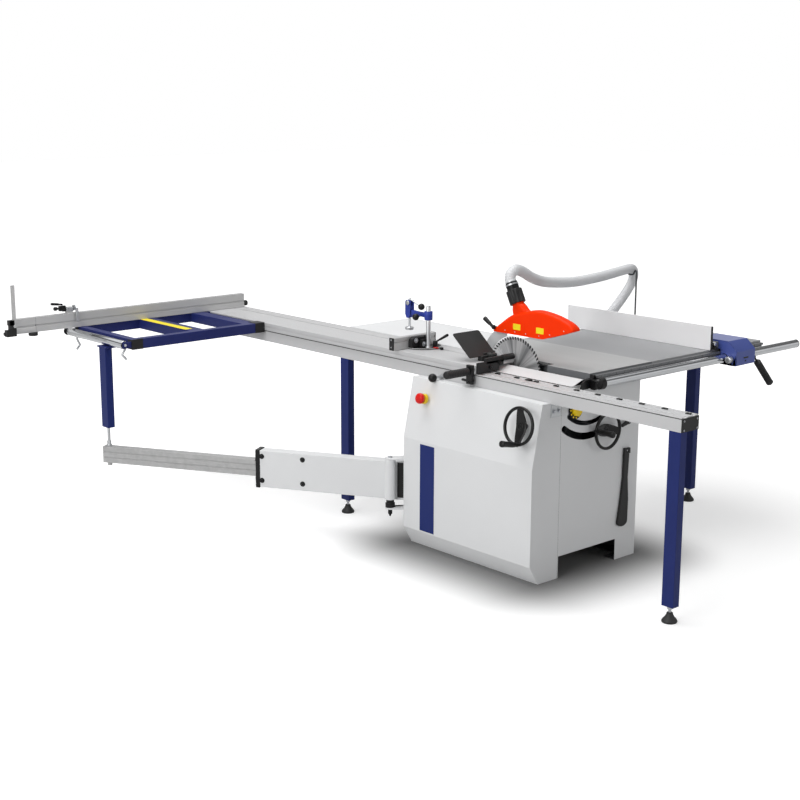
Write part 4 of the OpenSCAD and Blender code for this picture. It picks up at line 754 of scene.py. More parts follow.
shifted("pushStick", stickFit)
makePiece("pushStickPin", "base", [turned([(3.8, 0), (3.8, 15), (6.2, 15.2), (6.2, 17), (5, 18), (0.01, 18.2)],
    (600, -0.5, 490), yMinus, 24)], "glossBlack")
ballProfile = [(19.5 * math.sin(a), -19.5 * math.cos(a)) for a in np.linspace(0.01, 2.8, 18)] + [(6.6, 18.6), (6.4, 21)]
lockPlace = (45, 648, 786)
makePiece("carriageLock", "carriage_lock", [turned(ballProfile, lockPlace, xPlus, 40, 0),
    turned([(5, 15), (5, 71), (3.6, 72.4)], lockPlace, xPlus, 28, 1),
    turned([(8.4, 44), (9.4, 45), (9.4, 57), (8.4, 58.2)], lockPlace, xPlus, 6, 1)], "glossBlack zincSteel",
    "carriage_lock_pin", angle=40)
print("stage 6: controls")


# ---- saw unit: cradle, carrier, motor and blade
softened("saw_cradle", "castGrey", 1.0)
softened("arbor_carrier", "castGrey", 1.0, angle=36)
softened("arbor_shaft", "brushedSteel", 0.5, angle=36)
softened("motor", "darkCasting", 0.8, name="sawMotor", angle=36)
softened("motor_pulley", "brushedSteel", 0.4, angle=36)
softened("drive_belt", "stripRubber", 0.8, angle=40)
softened("riving_knife", "knifeSteel", 0.5)
bladeSettings = dict(centre=(348.0, 437.0, 805.0), radius=157.5, kerf=3.2, teeth=60, tipHeight=13.0, tipThick=7.0,
    lean=6.0)
softened("saw_blade", "bladeSteel", 0.0)


def carbideTips(s):
    # tooth k stands at angle k 360 / teeth; its tip is a small block behind the cutting edge
    corners = np.array([(r, a, x) for r in (s["radius"] - s["tipHeight"], s["radius"] + 0.2)
        for a in (-s["tipThick"], 0.3) for x in (-0.3, s["kerf"] + 0.3)])
    order = [(0, 1, 3, 2), (4, 6, 7, 5), (0, 4, 5, 1), (2, 3, 7, 6), (0, 2, 6, 4), (1, 5, 7, 3)]
    k = np.arange(s["teeth"]) * 2 * np.pi / s["teeth"]
    lean = s["lean"] * (s["radius"] - corners[:, 0]) / s["tipHeight"]
    a = k[:, None] + (corners[None, :, 1] + lean[None]) / s["radius"]
    y = s["centre"][1] + corners[None, :, 0] * np.cos(a)
    z = s["centre"][2] + corners[None, :, 0] * np.sin(a)
    x = np.broadcast_to(s["centre"][0] - s["kerf"] / 2 + corners[None, :, 2], y.shape)
    points = np.stack([x, y, z], -1).reshape(-1, 3)
    faces = (np.array(order)[None] + 8 * np.arange(s["teeth"])[:, None, None]).reshape(-1, 4).tolist()
    return points, faces, 0


makePiece("bladeTips", "blade", [carbideTips(bladeSettings)], "carbide")
flangePlace = (346.4, 437, 805)
makePiece("bladeFlange", "blade", [turned([(15.2, -1), (27, -1), (28.5, -0.2), (28.5, 4.4), (27, 6), (18.5, 6.6),
    (17.8, 9), (15.2, 9.2)], flangePlace, xMinus, 48), turned([(17, 8.6), (17, 12.5), (15.6, 13.8), (9, 14), (8, 12),
    (0.01, 12)], flangePlace, xMinus, 6)], "brushedSteel", angle=36)


# ---- blade guard: hood lofted along its length, with a neck that turns into a round spout
guardSettings = dict(middle=348.0, halfWidth=25.0, wall=3.0, shoulder=17.0, stations=72)
guardTop = np.array([(84, 1041), (97, 1055), (120, 1066.5), (177, 1084), (240, 1095), (300, 1098), (360, 1087),
    (446, 1062), (515, 1017), (541, 997), (556, 984)], float)
guardFoot = np.array([(84, 1034), (92, 1030.6), (170, 1004.5), (252, 979), (262, 977.5), (532, 976), (556, 977)], float)


def guardParts(s):
    # station i is a ring: up the left side, over the crown, down the right side, and back inside the wall
    y = np.r_[np.linspace(84, 90, 5), np.linspace(92, 548, s["stations"]), np.linspace(550, 556, 5)]
    crown = smoothLine(np.column_stack([guardTop, np.zeros(len(guardTop))]), 12)
    top = np.interp(y, crown[:, 0], crown[:, 1])
    foot = np.interp(y, guardFoot[:, 0], guardFoot[:, 1])
    ends = np.clip(np.minimum(y - 84, 556 - y) / 9.0, 0, 1)
    half = s["halfWidth"] * (0.66 + 0.34 * np.sqrt(1 - (1 - ends) ** 2))
    t = np.linspace(0, np.pi, 25)
    rise = np.minimum(s["shoulder"], (top - foot) * 0.7)

    def shell(half, top, foot, rise):
        cx = -eased(np.cos(t), 0.62)
        cz = np.sin(t) ** 0.85
        x = np.concatenate([-half[:, None], half[:, None] * cx[None], half[:, None]], 1)
        z = np.concatenate([foot[:, None], (top - rise)[:, None] + rise[:, None] * cz[None], foot[:, None]], 1)
        return x, z

    x1, z1 = shell(half, top, foot, rise)
    room = np.clip(np.minimum(y - 87, 553 - y), 0, 1)
    innerTop = foot + (top - s["wall"] - foot) * room
    x2, z2 = shell(half - s["wall"], innerTop, foot, np.maximum(np.minimum(rise, (innerTop - foot) * 0.7), 0.001))
    x = np.concatenate([x1, x2[:, ::-1]], 1) + s["middle"]
    z = np.concatenate([z1, z2[:, ::-1]], 1)
    return [gridPart(np.stack([x, np.broadcast_to(y[:, None], x.shape), z], -1), wrapV=True, caps=True)]


spoutLean = math.radians(27)
spoutBase = np.array([348.0, 421.0, 1100.0])
spoutAxis = np.array([0.0, math.sin(spoutLean), math.cos(spoutLean)])
spoutSide = np.array([1.0, 0.0, 0.0])
spoutFront = np.array([0.0, math.cos(spoutLean), -math.sin(spoutLean)])


def neckParts():
    # ring i eases from a long rounded foot on the hood into the spout's circle
    k = np.linspace(0, 1, 15)
    ease = 1 - (1 - k) ** 2.2
    foot = roundedBox(36, 126, 17, 10)
    t = np.arctan2(foot[:, 1] / 63, foot[:, 0] / 18)
    rings = []
    low = np.column_stack([348 + foot[:, 0], 398 + foot[:, 1],
        np.interp(398 + foot[:, 1], guardTop[:, 0], guardTop[:, 1]) - 9 - 8 * np.abs(foot[:, 0] / 18) ** 2])
    high = spoutBase + 9 * spoutAxis + 26 * (np.cos(t)[:, None] * spoutSide + np.sin(t)[:, None] * spoutFront)
    for a, b in zip(ease, k):
        ring = low * (1 - b) + high * b
        centre = ring.mean(0)
        pinch = 1 - 0.30 * np.sin(np.pi * min(b * 1.25, 1.0)) * (1 - b) * np.array([0.25, 1.0, 0.0])
        rings.append(centre + (ring - centre) * pinch)
    top = high + 14 * spoutAxis
    inner = spoutBase + 23 * spoutAxis + 23 * (np.cos(t)[:, None] * spoutSide + np.sin(t)[:, None] * spoutFront)
    rings += [top, inner, inner - 30 * spoutAxis]
    return [gridPart(np.array(rings), wrapV=True, caps=True)]


makePiece("bladeGuard", "lift_unit", guardParts(guardSettings), "guardOrange", "blade_guard", angle=40)
makePiece("guardNeck", "lift_unit", neckParts(), "guardOrange", angle=50)
makePiece("guardRivets", "lift_unit", [rivet((348 + d * 25, y, z), (d, 0, 0), 2.6, 1.4) for d in (-1, 1) for y,
    z in ((480, 990), (420, 989), (356, 989), (277, 990), (215, 1003), (135, 1029))], "zincSteel")
makePiece("guardPlates", "lift_unit", [prism(roundedBox(44, 26, 2.5, 4) + [y, 1013], "x", 348 + d * 24.9,
    348 + d * 25.7) for d in (-1, 1) for y in (409, 272)], "plainYellow")


def spoutParts():
    # black sleeve with broad flutes, then a cuff of thin rings
    t = circle(120)
    heights = np.array([14, 15.5, 17, 60, 72, 75, 76.4, 76.4])
    radii = np.array([33, 35.2, 36, 36, 36, 35.4, 33.6, 24])
    flute = np.array([0, 0.3, 1, 1, 1, 0.4, 0, 0])
    wave = 1.5 * np.tanh(3 * np.cos(12 * t)) - 1.2
    r = radii[:, None] + flute[:, None] * wave[None]
    outer = (spoutBase + heights[:, None, None] * spoutAxis + r[..., None]
        * (np.cos(t)[:, None] * spoutSide + np.sin(t)[:, None] * spoutFront)[None])
    parts = [gridPart(outer, wrapV=True, caps=True)]
    cuff = [(24, 74)] + [p for z in np.arange(76, 108, 5.6)
        for p in ((25.9, z), (26.2, z + 0.3), (28, z + 1), (28, z + 3.2), (26.2, z + 4), (25.9, z + 4.4))] + [(25.8,
        112)]
    parts += [turned(cuff, spoutBase, spoutAxis, 48, 0),
        turned([(27.6, 97), (29, 97.3), (29, 103.4), (27.6, 103.8)], spoutBase, spoutAxis, 48, 2),
        turned([(24, 111), (26.2, 111.4), (26.6, 113.4), (25.9, 115)], spoutBase, spoutAxis, 48, 2)]
    return parts


makePiece("guardSpout", "lift_unit", spoutParts(), "blackPlastic greyPlastic zincSteel", "guard_spout",
    angle=40)


def clampLever(length, thick, tip):
    # thin neck that swells into a rounded handle along local z
    return [(thick * 0.5, 0), (thick * 0.5, length * 0.34), (thick * 0.62, length * 0.38), (tip * 0.44, length * 0.45),
        (tip * 0.5, length * 0.8), (tip * 0.52, length * 0.93), (tip * 0.46, length * 0.985), (tip * 0.3, length),
        (0.01, length * 1.004)]


leverAxis = np.array([0.0, math.sin(math.radians(58)), math.cos(math.radians(58))])
makePiece("guardLever", "guard_lever", [turned([(3, 12), (3, -0.4), (9, -0.4), (10, -1.2), (10, -9.6), (8.4, -11.8),
    (0.01, -12)], (323, 545, 996), xPlus, 32), turned(clampLever(66, 14, 20), (315, 545, 996), leverAxis, 28)],
    "glossBlack", "guard_lever", angle=40)
print("stage 7: saw unit and guard")

# ---- rip fence
softened("rip_fence", "fencePlate", 0.6)
headSettings = dict(left=1222.0, right=1366.0, back=112.0, top=908.0, front=-112.0, wall=4.0)


def headParts(s):
    # folded hood over the tube; the left cheek saddles the tube, the right one stays behind the lever
    x0, x1, w, f = s["left"], s["right"], s["wall"], s["front"]
    outer = [(s["back"], 866.7), (s["back"], s["top"] - 4), (s["back"] - 4, s["top"]), (-64, s["top"]), (-110, 867),
        (f, 863), (f, 801), (-110, 799)]
    inner = [(f + w, 799), (f + w, 862), (-62, s["top"] - w), (-19, s["top"] - w), (-19, 866.7)]
    arc = [(-45 - 20.7 * math.cos(a), 828 + 20.7 * math.sin(a)) for a in np.linspace(0, np.pi, 25)]
    saddle = [(-94, 797), (-65.7, 797)] + arc + [(-24.3, 797), (-22.5, 797), (-22.5, 866.7)]
    behind = [(s["back"], 866.7), (s["back"], 904), (-64, 904), (-86, 884), (-86, 828),
        (-65.7, 828)] + arc[1:] + [(-22.5, 828), (-22.5, 866.7)]
    return [prism(outer + inner, "x", x0, x1), prism(outer + saddle, "x", x0, x0 + w), prism(behind, "x", x1 - w, x1)]


makePiece("fenceHead", "fence_unit", headParts(headSettings), "headPaint", "fence_head", bevel=1.2,
    edgeAngle=24, angle=24)
makePiece("fenceHeadTrim", "fence_unit", [prism(roundedBox(37, 7, 3.2, 5) + [1296, 832], "y", -112.9, -111)]
    + [capScrew((1180 - 8.2, y, 893), xMinus, 4.2, 0.6, 1) for y in (30, 120)]
    + [box(1159.6, 1172.6, -13.4, -11, 866.4, 975.8)], "stripRubber boltSteel")
makePiece("fenceBracket", "fence_unit", [box(1172.5, 1221.8, -10, 18, 869.2, 900),
    box(1172.5, 1180, -10, 158, 869.2, 920), box(1176, 1190, -30, -10, 868.5, 882, 2)]
    + [turned([(9, 0), (9, 10), (7, 12), (0.01, 12)], (1186, -10, z), yMinus, 24, m) for z, m in ((893, 1), (877, 2))],
    "castGrey zincSteel blackPlastic", bevel=1.2)


def fenceLeverParts():
    # flat link inside the hood, then a rod with a ribbed rubber grip beside its right cheek
    axis = unit([0.677, -0.04, -0.736])
    root = (1380, -98, 823)
    profile = [(11, 32), (12.6, 33)]
    for i in range(14):
        z = 37 + 10.2 * i
        profile += [(12.4, z), (16.6, z + 1.4), (17, z + 5), (12.4, z + 6.4)]
    profile += [(15.6, 181), (17, 183), (17, 189), (15, 191.4), (9, 192), (0.01, 192.2)]
    link = [(1284, 812), (1284, 822), (1292, 827), (1376, 831), (1386, 826), (1385, 816), (1376, 813)]
    return [prism(link, "y", -105, -99, 1), turned([(4, -10), (4, 8), (9, 8), (9, 11), (0.01, 11.4)], (1292, -104, 817),
        yPlus, 28, 1), turned([(0.01, -7), (6.4, -6), (7.4, 0), (6.4, 4), (4.8, 6), (4.8, 36)], root, axis, 28, 1),
        turned(profile, root, axis, 36, 0)]


makePiece("fenceLever", "fence_lever", fenceLeverParts(), "gripRubber blackPlastic", "fence_lever",
    angle=40, bevel=0.6, edgeAngle=50)


def fluted(radius, low, high, lobes, depth, place, axis, sides=96, mat=0, dome=2.0):
    # knob whose radius waves lobes times round it and eases at both ends
    heights = np.array([low, low + 1.2, low + 3, high - 3, high - 1, high, high + dome * 0.5])
    radii = np.array([0.9, 0.97, 1.0, 1.0, 0.96, 0.86, 0.4]) * radius
    share = np.array([0.4, 1, 1, 1, 0.8, 0.4, 0.0])
    t = circle(sides)
    r = radii[:, None] * (1 + depth * share[:, None] * (np.abs(np.cos(lobes * t / 2)) ** 0.5 - 0.5)[None])
    axis, ring = ringRound(axis, t)
    return gridPart(np.array(place, float) + heights[:, None, None] * axis + r[..., None] * ring[None], wrapV=True,
        caps=True, mat=mat)


fenceKnobPlace = (1221, -86, 828)
makePiece("fenceKnob", "fence_knob", [fluted(15, 4, 30, 20, 0.1, fenceKnobPlace, xMinus),
    turned([(11, 30.6), (11, 32), (9.6, 33), (4.4, 33), (4, 31.4), (0.01, 31.4)], fenceKnobPlace, xMinus, 32, 1),
    turned([(4, 0.3), (4, 6)], fenceKnobPlace, xMinus, 20, 1)], "zincSteel greyPlastic", "fence_knob",
    angle=40)
print("stage 8: rip fence")

# ---- sliding carriage: one extruded profile with fine ribbing on its deck
carriageSettings = dict(front=432, back=2502, slot=258.0, pitch=8.0, groove=0.9)


def carriageOutline(s):
    # down the left skirt, under the deck, up the right edge and back over the ribbed top
    line = [(94, 829), (94, 843.2), (96.8, 843.2), (96.8, 847.8), (94, 847.8), (94, 862.4), (95, 864.1), (97, 865)]
    for x in np.arange(104, 333, s["pitch"]):
        if abs(x - s["slot"]) < 13:
            if abs(x - s["slot"]) < s["pitch"] / 2:
                line += [(254, 865), (254, 861.5), (250, 861.5), (250, 856), (266, 856), (266, 861.5), (262, 861.5),
                    (262, 865)]
            continue
        deep = s["groove"] * (2.0 if abs(x - 152) < 4 or abs(x - 312) < 4 else 1.0)
        line += [(x - 0.9, 865), (x - 0.5, 865 - deep), (x + 0.5, 865 - deep), (x + 0.9, 865)]
    line += [(334.6, 865), (336, 863.6), (336, 860), (328, 852.3), (231, 852), (223, 846), (223, 829), (213, 829),
        (213, 852), (113, 852), (113, 829)]
    return line[::-1]


makePiece("carriageDeck", "carriage", [prism(carriageOutline(carriageSettings), "y", carriageSettings["front"],
    carriageSettings["back"])], "profileLong", "carriage", angle=20)
makePiece("carriageCaps", "carriage", [prism([(x0, z0), (x1, z0), (x1, z1), (x0, z1)], "y", 2502, 2504.5) for x0, x1,
    z0, z1 in ((95, 334, 853, 863.5), (95, 112, 830, 853.2), (214, 222, 830, 853.2))]
    + [capScrew((x, 2504.5, 858), yPlus, 4, 2.2, 1) for x in (110, 215, 320)], "blackPlastic boltSteel", bevel=0.8)
softened("roller_cage", "brushedSteel", 0.3, angle=36)


def pushGrip():
    profile = [(8, -1), (14.8, 0), (16.6, 1.6)]
    for i in range(13):
        x = 4 + 9.6 * i
        profile += [(16, x), (17.4, x + 1.2), (17.7, x + 3.4), (17.4, x + 5.6), (16, x + 6.8)]
    return profile + [(16.6, 129), (15.4, 131), (11, 132)]


gripPlace = (-60, 455, 840)
handleParts = [turned(pushGrip(), gripPlace, xPlus, 44), turned([(9, 130), (9, 150)], gripPlace, xPlus, 32, 1),
    turned([(5, -1.4), (6.4, -1.2), (6.4, 0.6)], gripPlace, xPlus, 24, 1), box(78, 93.7, 438, 472, 783, 867),
    turned([(6, 472), (6, 500), (5, 501.4)], (84, 0, 797), yPlus, 24, 1), box(100, 233, 424, 432, 830, 877),
    box(232, 261, 424, 432, 852.4, 877), box(154, 261, 424, 440, 865.3, 891),
    turned([(11, 0), (13.5, 1.2), (13.5, 60), (13, 68), (11, 70.8), (0.01, 71)], (259, 432, 881), xPlus, 40)]
handleParts += [p for x in (178, 235) for p in hexBolt((x, 424, 851 if x < 200 else 864), yMinus, 13, 7, 2)]
handleParts += [capScrew((85.8, 438, z), yMinus, 5.4, 4.6, 2)
    for z in (800, 852)] + [capScrew((78, 455, z), xMinus, 5, 3.6, 2) for z in (793, 859)]
makePiece("pushHandle", "carriage", handleParts, "blackPlastic blackPlastic glossBlack", "push_handle",
    bevel=1.2, angle=40, edgeAngle=50)

shoeTilt = math.radians(90 - 49.8)
shoeUp, shoeNormal = np.array([0.0, math.cos(shoeTilt), math.sin(shoeTilt)]), np.array([0.0, -math.sin(shoeTilt),
    math.cos(shoeTilt)])
shoePlate = prism(roundedBox(160, 144, 8, 7) + [80, 72], "z", 0, 5)
shoeKnobPlace = (236, 472, 865)
makePiece("edgingShoe", "carriage", moved([shoePlate], (125, 500, 883), xPlus, shoeUp, shoeNormal)
    + [box(190, 282, 486, 514, 865.2, 887), box(214, 262, 500, 520, 880, 896)]
    + [fluted(21, 22, 34, 10, 0.14, shoeKnobPlace, zPlus),
    turned([(16, 0.3), (16, 20), (20, 22)], shoeKnobPlace, zPlus, 40), capScrew((236, 472, 900), zPlus, 6, 2.4, 1),
    capScrew((200, 486, 876), yMinus, 4.6, 3.6, 1)], "plateBlack glossBlack", "edging_shoe", bevel=0.9,
    angle=36)
print("stage 9a: carriage")

# ---- mitre fence with its quadrant
mitreOutline = [(924, 866), (924, 901), (927.4, 901), (927.4, 909), (924, 909), (924, 921.4), (925, 922.4),
    (951, 922.4), (952, 921.4), (952, 909), (948.6, 909), (948.6, 901), (952, 901), (952, 885), (949, 885), (949, 878),
    (952, 878), (952, 866), (947, 866), (947, 893), (929, 893), (929, 866)]
makePiece("mitreProfile", "mitre", [prism(mitreOutline, "x", 62.5, 317.5)], "profileCross", "mitre_fence",
    bevel=0.3)
makePiece("mitreCaps", "mitre", [prism(roundedBox(29, 57.6, 2, 4) + [938, 894.4], "x", a, b) for a,
    b in ((58.5, 62.6), (317.4, 321.5))] + [capScrew((58.5, 938, z), xMinus, 3.8, 1.6, 1) for z in (880, 914)]
    + [capScrew((321.5, 938, z), xPlus, 3.8, 1.6, 1) for z in (880, 914)], "blackPlastic boltSteel", bevel=0.6)


def quadrantParts():
    # half disc with a curved slot left by two rings, a web and an outer rim
    a = np.linspace(np.pi, 2 * np.pi, 61)
    arc = lambda r: np.column_stack([238 + r * np.cos(a), 924 + r * np.sin(a)])
    ring = lambda r0, r1, z0, z1, mat: prism(np.vstack([arc(r0), arc(r1)[::-1]]), "z", z0, z1, mat)
    parts = [ring(78, 90, 865.3, 870.3, 0), ring(40, 70, 865.3, 869.4, 0), ring(68, 80, 865.3, 867, 0),
        ring(86, 91, 868.8, 871.2, 1)]
    parts.append(prism(np.vstack([arc(41), [[279, 924.4], [197, 924.4]]]), "z", 865.3, 870))
    parts += [prism([(150, 870), (150, 899), (156, 912), (166, 918), (247, 918), (247, 870)], "y", 899, 924.2),
        box(196, 247, 878, 900, 870, 908), box(196, 240, 924, 953, 872, 884)]
    parts.append(turned([(11, 0), (11, 40), (12.4, 42), (12.4, 52), (11, 53.4), (0.01, 53.6)], (238, 898, 870), zPlus,
        36))
    parts += hexBolt((176, 899, 904), yMinus, 13, 7, 2) + hexBolt((206, 878, 888), yMinus, 12, 6, 2)
    parts.append(turned([(10, -4), (10, 3), (7, 5), (0.01, 5.2)], (238, 924, 870), zPlus, 36, 2))
    return parts


makePiece("mitreQuadrant", "mitre", quadrantParts(), "blackPlastic profileCross boltSteel", bevel=0.6, angle=36)
makePiece("mitrePointer", "mitre", [prism([(231, 842), (246, 842), (244, 822), (238.5, 815), (233, 822)], "z", 871.2,
    874.4)] + [capScrew((238.5, 834, 874.4), zPlus, 3, 1.4, 1),
    turned([(8, 0.5), (8.6, 2), (8.6, 9), (7, 11.6), (0.01, 12)], (249, 806, 865), zPlus, 24, 2)],
    "stopRed boltSteel glossBlack", bevel=0.5)
mitreTurn = math.radians(62)
mitreLeverAxis = np.array([0.0, -math.sin(mitreTurn), math.cos(mitreTurn)])
makePiece("mitreLever", "mitre_lever", [turned([(4, -4), (4, 0.4), (10.4, 0.4), (11, 1.2), (11, 26), (9.6, 30),
    (6, 31.4), (0.01, 31.6)], (250, 850, 870.6), zPlus, 36),
    turned(clampLever(94, 8.4, 12.4), (250, 850, 895), mitreLeverAxis, 28)], "glossBlack", "mitre_lever",
    angle=40)

# ---- hold-down clamp
makePiece("clampColumn", "mitre", [turned([(10, 5.5), (10, 195), (8.6, 198), (0.01, 198)], (219, 864, 865), zPlus, 40),
    turned([(15, 5.5), (15, 10), (13.6, 11.6), (10.2, 11.8)], (219, 864, 865), zPlus, 40)], "zincSteel", "clamp_column")


def clampArmParts():
    # hub round the column, a waisted arm and a tall cheek for the spindle
    s = np.linspace(0, 1, 13)
    y = 876 + s * 96
    half = 9.5 - 1.5 * np.sin(np.pi * s)
    mid, high = 1019 + 2 * s, 12.5 - 2.2 * np.sin(np.pi * s)
    u = circle(20)
    sx, sz = eased(np.cos(u), 0.45), eased(np.sin(u), 0.45)
    arm = np.stack([219 + half[:, None] * sx, np.broadcast_to(y[:, None], (13, 20)), mid[:, None] + high[:, None] * sz],
        -1)
    parts = [gridPart(arm, wrapV=True, caps=True), turned([(10.3, 6), (18, 6), (19, 7.4), (19, 44.6), (18, 46),
        (10.3, 46)], (219, 864, 993), zPlus, 40)]
    cheek = [(975, 1014), (975, 1070), (981, 1077), (1003, 1077), (1009, 1069), (1009, 1012), (1000, 994), (985, 994)]
    parts += [prism(cheek, "x", 205.6, 213.2), prism(cheek, "x", 224.8, 232.4),
        prism([(977, 1000), (985, 995), (1000, 995), (1007, 1010), (1007, 1050), (977, 1050)], "x", 213, 225)]
    parts += [turned([(8, 0), (8, 2), (6.4, 3.4), (3, 3.6)], (232.4, 992, 1062), xPlus, 28, 1),
        turned([(8, 0), (8, 2), (6.4, 3.4), (3, 3.6)], (205.6, 992, 1062), xMinus, 28, 1)]
    parts += [turned([(3.6, -6), (3.6, 10)], (210.6, 918, 1009), xMinus, 20, 1)]
    parts += [turned([(15.5 * math.sin(a), 21 - 15.5 * math.cos(a)) for a in np.linspace(0.3, 3.1, 14)]
        + [(0.01, 36.5)], (210.6, 918, 1009), xMinus, 32, 2),
        turned([(10.4, 3.4), (10.4, 8), (8.6, 9.6), (0.01, 9.8)], (205.6, 986, 1066), xMinus, 32, 1),
        turned([(5.6, 0), (5.6, 13.4)], (212.4, 990, 1076), xPlus, 24, 1)]
    return parts


makePiece("clampArm", "clamp_arm", clampArmParts(), "clampBlue zincSteel glossBlack", "clamp_arm",
    bevel=1.0, angle=40, edgeAngle=50)
padProfile = [(5, -5), (19, -4.8), (20, -3.6), (20, 5.6), (18.6, 7), (8.4, 7.2), (7, 10), (5, 11)]
ball = [(15.5 * math.sin(a), -15.5 * math.cos(a)) for a in np.linspace(0.25, 3.0, 16)] + [(0.01, 15.5)]
rodAxis = unit([0.0, -72.0, -24.0])
makePiece("clampSpindle", "clamp_spindle", [turned(padProfile, (219, 992, 944), zPlus, 44, 0),
    turned([(5, 0)] + [q for z in np.arange(4, 132, 2.5) for q in ((5.0, z), (4.5, z + 1.25))] + [(5, 140), (4, 141)],
    (219, 992, 945), zPlus, 24, 0), turned([(3.5, 0), (3.5, 66)], (219, 984, 1077.5), rodAxis, 20, 0),
    turned([(5.2, 0), (5.2, 8), (4, 9.6), (0.01, 9.8)], (219, 992, 1076), zPlus, 28, 0),
    turned(ball, (219, 912, 1053.5), yMinus, 36, 1)], "zincSteel glossBlack", "clamp_spindle", angle=40)
print("stage 9b: mitre fence and clamp")

# ---- outrigger
softened("outrigger_frame", "bluePaint", 1.8, segments=3)
makePiece("frameStrip", "carriage", [box(-330.2, -288, 2027, 2436, 864.9, 865.7)], "plainYellow", bevel=0.3)
frameCaps = [box(36, 93, 1946.4, 2009, 816.2, 866.4), box(-681.4, -679, 1950, 1986, 819, 863),
    box(-680.6, -621, 1946.6, 1950, 816.4, 865.8), box(-681, -679, 2450, 2486, 819, 863)]
makePiece("frameCaps", "carriage", frameCaps, "blackPlastic", bevel=0.5)
makePiece("frameBolts", "carriage", [turned([(6.6, 0), (6.6, 2.6), (5, 3.6), (0.01, 3.8)], (-715, y, 842), (0, d, 0),
    28) for y, d in ((1954, -1), (2482, 1))], "zincSteel")


def crank(y, corners):
    # bent rod under the roller: (x, z) from the frame down to the hand end
    route = [(x, y, z) for x, z in corners]
    return swept(disc(5.2, 14), spaced(smoothLine(route, 8), 4), (0.1, 1, 0.1))


makePiece("frameCranks", "carriage", [crank(2436, [(-697, 818), (-698, 806), (-692, 792), (-684, 777), (-688, 770),
    (-698, 760), (-702, 754)]), crank(1994, [(-692, 822), (-693, 814), (-702, 802), (-709, 792), (-704, 784),
    (-692, 772), (-690, 764)])], "zincSteel", angle=50)
rollerEnd = (-715, 1948, 842)
makePiece("outriggerRoller", "outrigger_roller", [turned([(6, 2), (6, 14), (17, 14), (19.2, 14.6), (20, 16), (20, 524),
    (19.2, 525.4), (17, 526), (6, 526), (6, 538)], rollerEnd, yPlus, 56, 0),
    turned([(6.2, 11), (16.4, 11.4), (18.6, 12.8), (18.8, 16), (6.2, 16)], rollerEnd, yPlus, 44, 1),
    turned([(6.2, 524), (18.8, 524), (18.6, 527.2), (16.4, 528.6), (6.2, 529)], rollerEnd, yPlus, 44, 1),
    turned([(0.01, 540), (20, 540), (21, 541), (21, 550.6), (20, 552), (0.01, 552.2)], rollerEnd, yPlus, 44, 1)],
    "chrome blackPlastic", "outrigger_roller", angle=36)
softened("outrigger_post", "deepBluePaint zincSteel", 1.5, lambda c, n: np.where(c[:, 2] < 419, 1, 0))

# ---- crosscut fence and its stops
softened("crosscut_fence", "profileCross blackPlastic", 0.5,
    lambda c, n: np.where((c[:, 0] > 319.5) | ((c[:, 1] > 2466.2) & (c[:, 0] > 100)), 1, 0))
makePiece("crosscutTrim", "carriage", [box(-917.5, 319.5, 2440, 2446, 937.7, 938.5, 1),
    fluted(14, 2, 20, 8, 0.14, (326, 2451, 884), xPlus, mat=0),
    fluted(17, 1, 20, 8, 0.14, (154, 2477, 895), zPlus, mat=0)]
    + [box(-918.6, -917.4, 2435.6, 2466.4, 865.8, 938.4, 2)], "blackPlastic rulerAlu castGrey", bevel=0.4)
softened("fence_extension", "profileCross blackPlastic", 0.6,
    lambda c, n: np.where((c[:, 0] < -1028.3) | (c[:, 2] < 865.5), 1, 0), angle=36)
shifted("fenceExtension", lambda x, y, z: (0, 0, 867 - z if z < 865.5 else 0))
makePiece("extensionKnob", "fence_extension", [fluted(21, -9, 9, 10, 0.16, (-927, 2450, 856.5), zMinus),
    turned([(12, -9), (12, -8), (7, -4), (7, 8)], (-927, 2450, 857), zPlus, 32),
    box(-1084, -1034, 2408, 2434, 862, 894), box(-1066, -1046, 2410, 2432, 893, 938),
    box(-1070, -1042, 2410, 2432, 916, 940)], "blackPlastic", angle=40)
flipPlate = [(2443, 950), (2459, 950), (2463, 964), (2455, 976), (2429, 978), (2417, 964), (2415, 900), (2425, 896),
    (2427, 952), (2433, 960)]
makePiece("flipStop", "flip_stop", [prism(flipPlate, "x", -706, -694, 0),
    turned([(5, 0), (5, 70)], (-764, 2451, 958), xPlus, 24, 0),
    turned([(10, 0), (10, 18)], (-764, 2451, 958), xPlus, 32, 1), box(-746, -708, 2440, 2462, 948, 968, 0),
    box(-782, -748, 2443, 2458, 952, 978, 1), turned([(4.4, 0), (4.4, 20), (6, 24), (6.6, 60), (5, 66), (0.01, 66.4)],
    (-764, 2448, 984), (-1, -0.1, 0.14), 24, 1), turned([(5, 0), (5, 12), (8.6, 13), (9.4, 17), (9.4, 26), (8, 29),
    (0.01, 29.6)], (-782, 2448, 966), xMinus, 28, 1)], "zincSteel glossBlack", "flip_stop", bevel=1.0,
    angle=36)
softened("end_stop", "profileCross", 0.6, angle=36)
makePiece("endStopPin", "end_stop", [turned([(2.6, 0), (2.6, 0.8), (0.01, 0.9)], (-1040, 2415.4, 952), yMinus, 16)],
    "boltSteel")
print("stage 9c: outrigger and crosscut fence")

# ---- swing arm
armAngle = math.radians(120.563)
armAlong, armAcross = np.array([math.cos(armAngle), math.sin(armAngle), 0.0]), np.array([-math.sin(armAngle),
    math.cos(armAngle), 0.0])
armStart = np.array([*armPivot, 0.0]) - 55 * armAcross


def armPick(c, n):
    s = (c[:, :2] - armStart[:2]) @ armAlong[:2]
    return np.where((s > 649.5) | (s < -70.5), 1, 0)


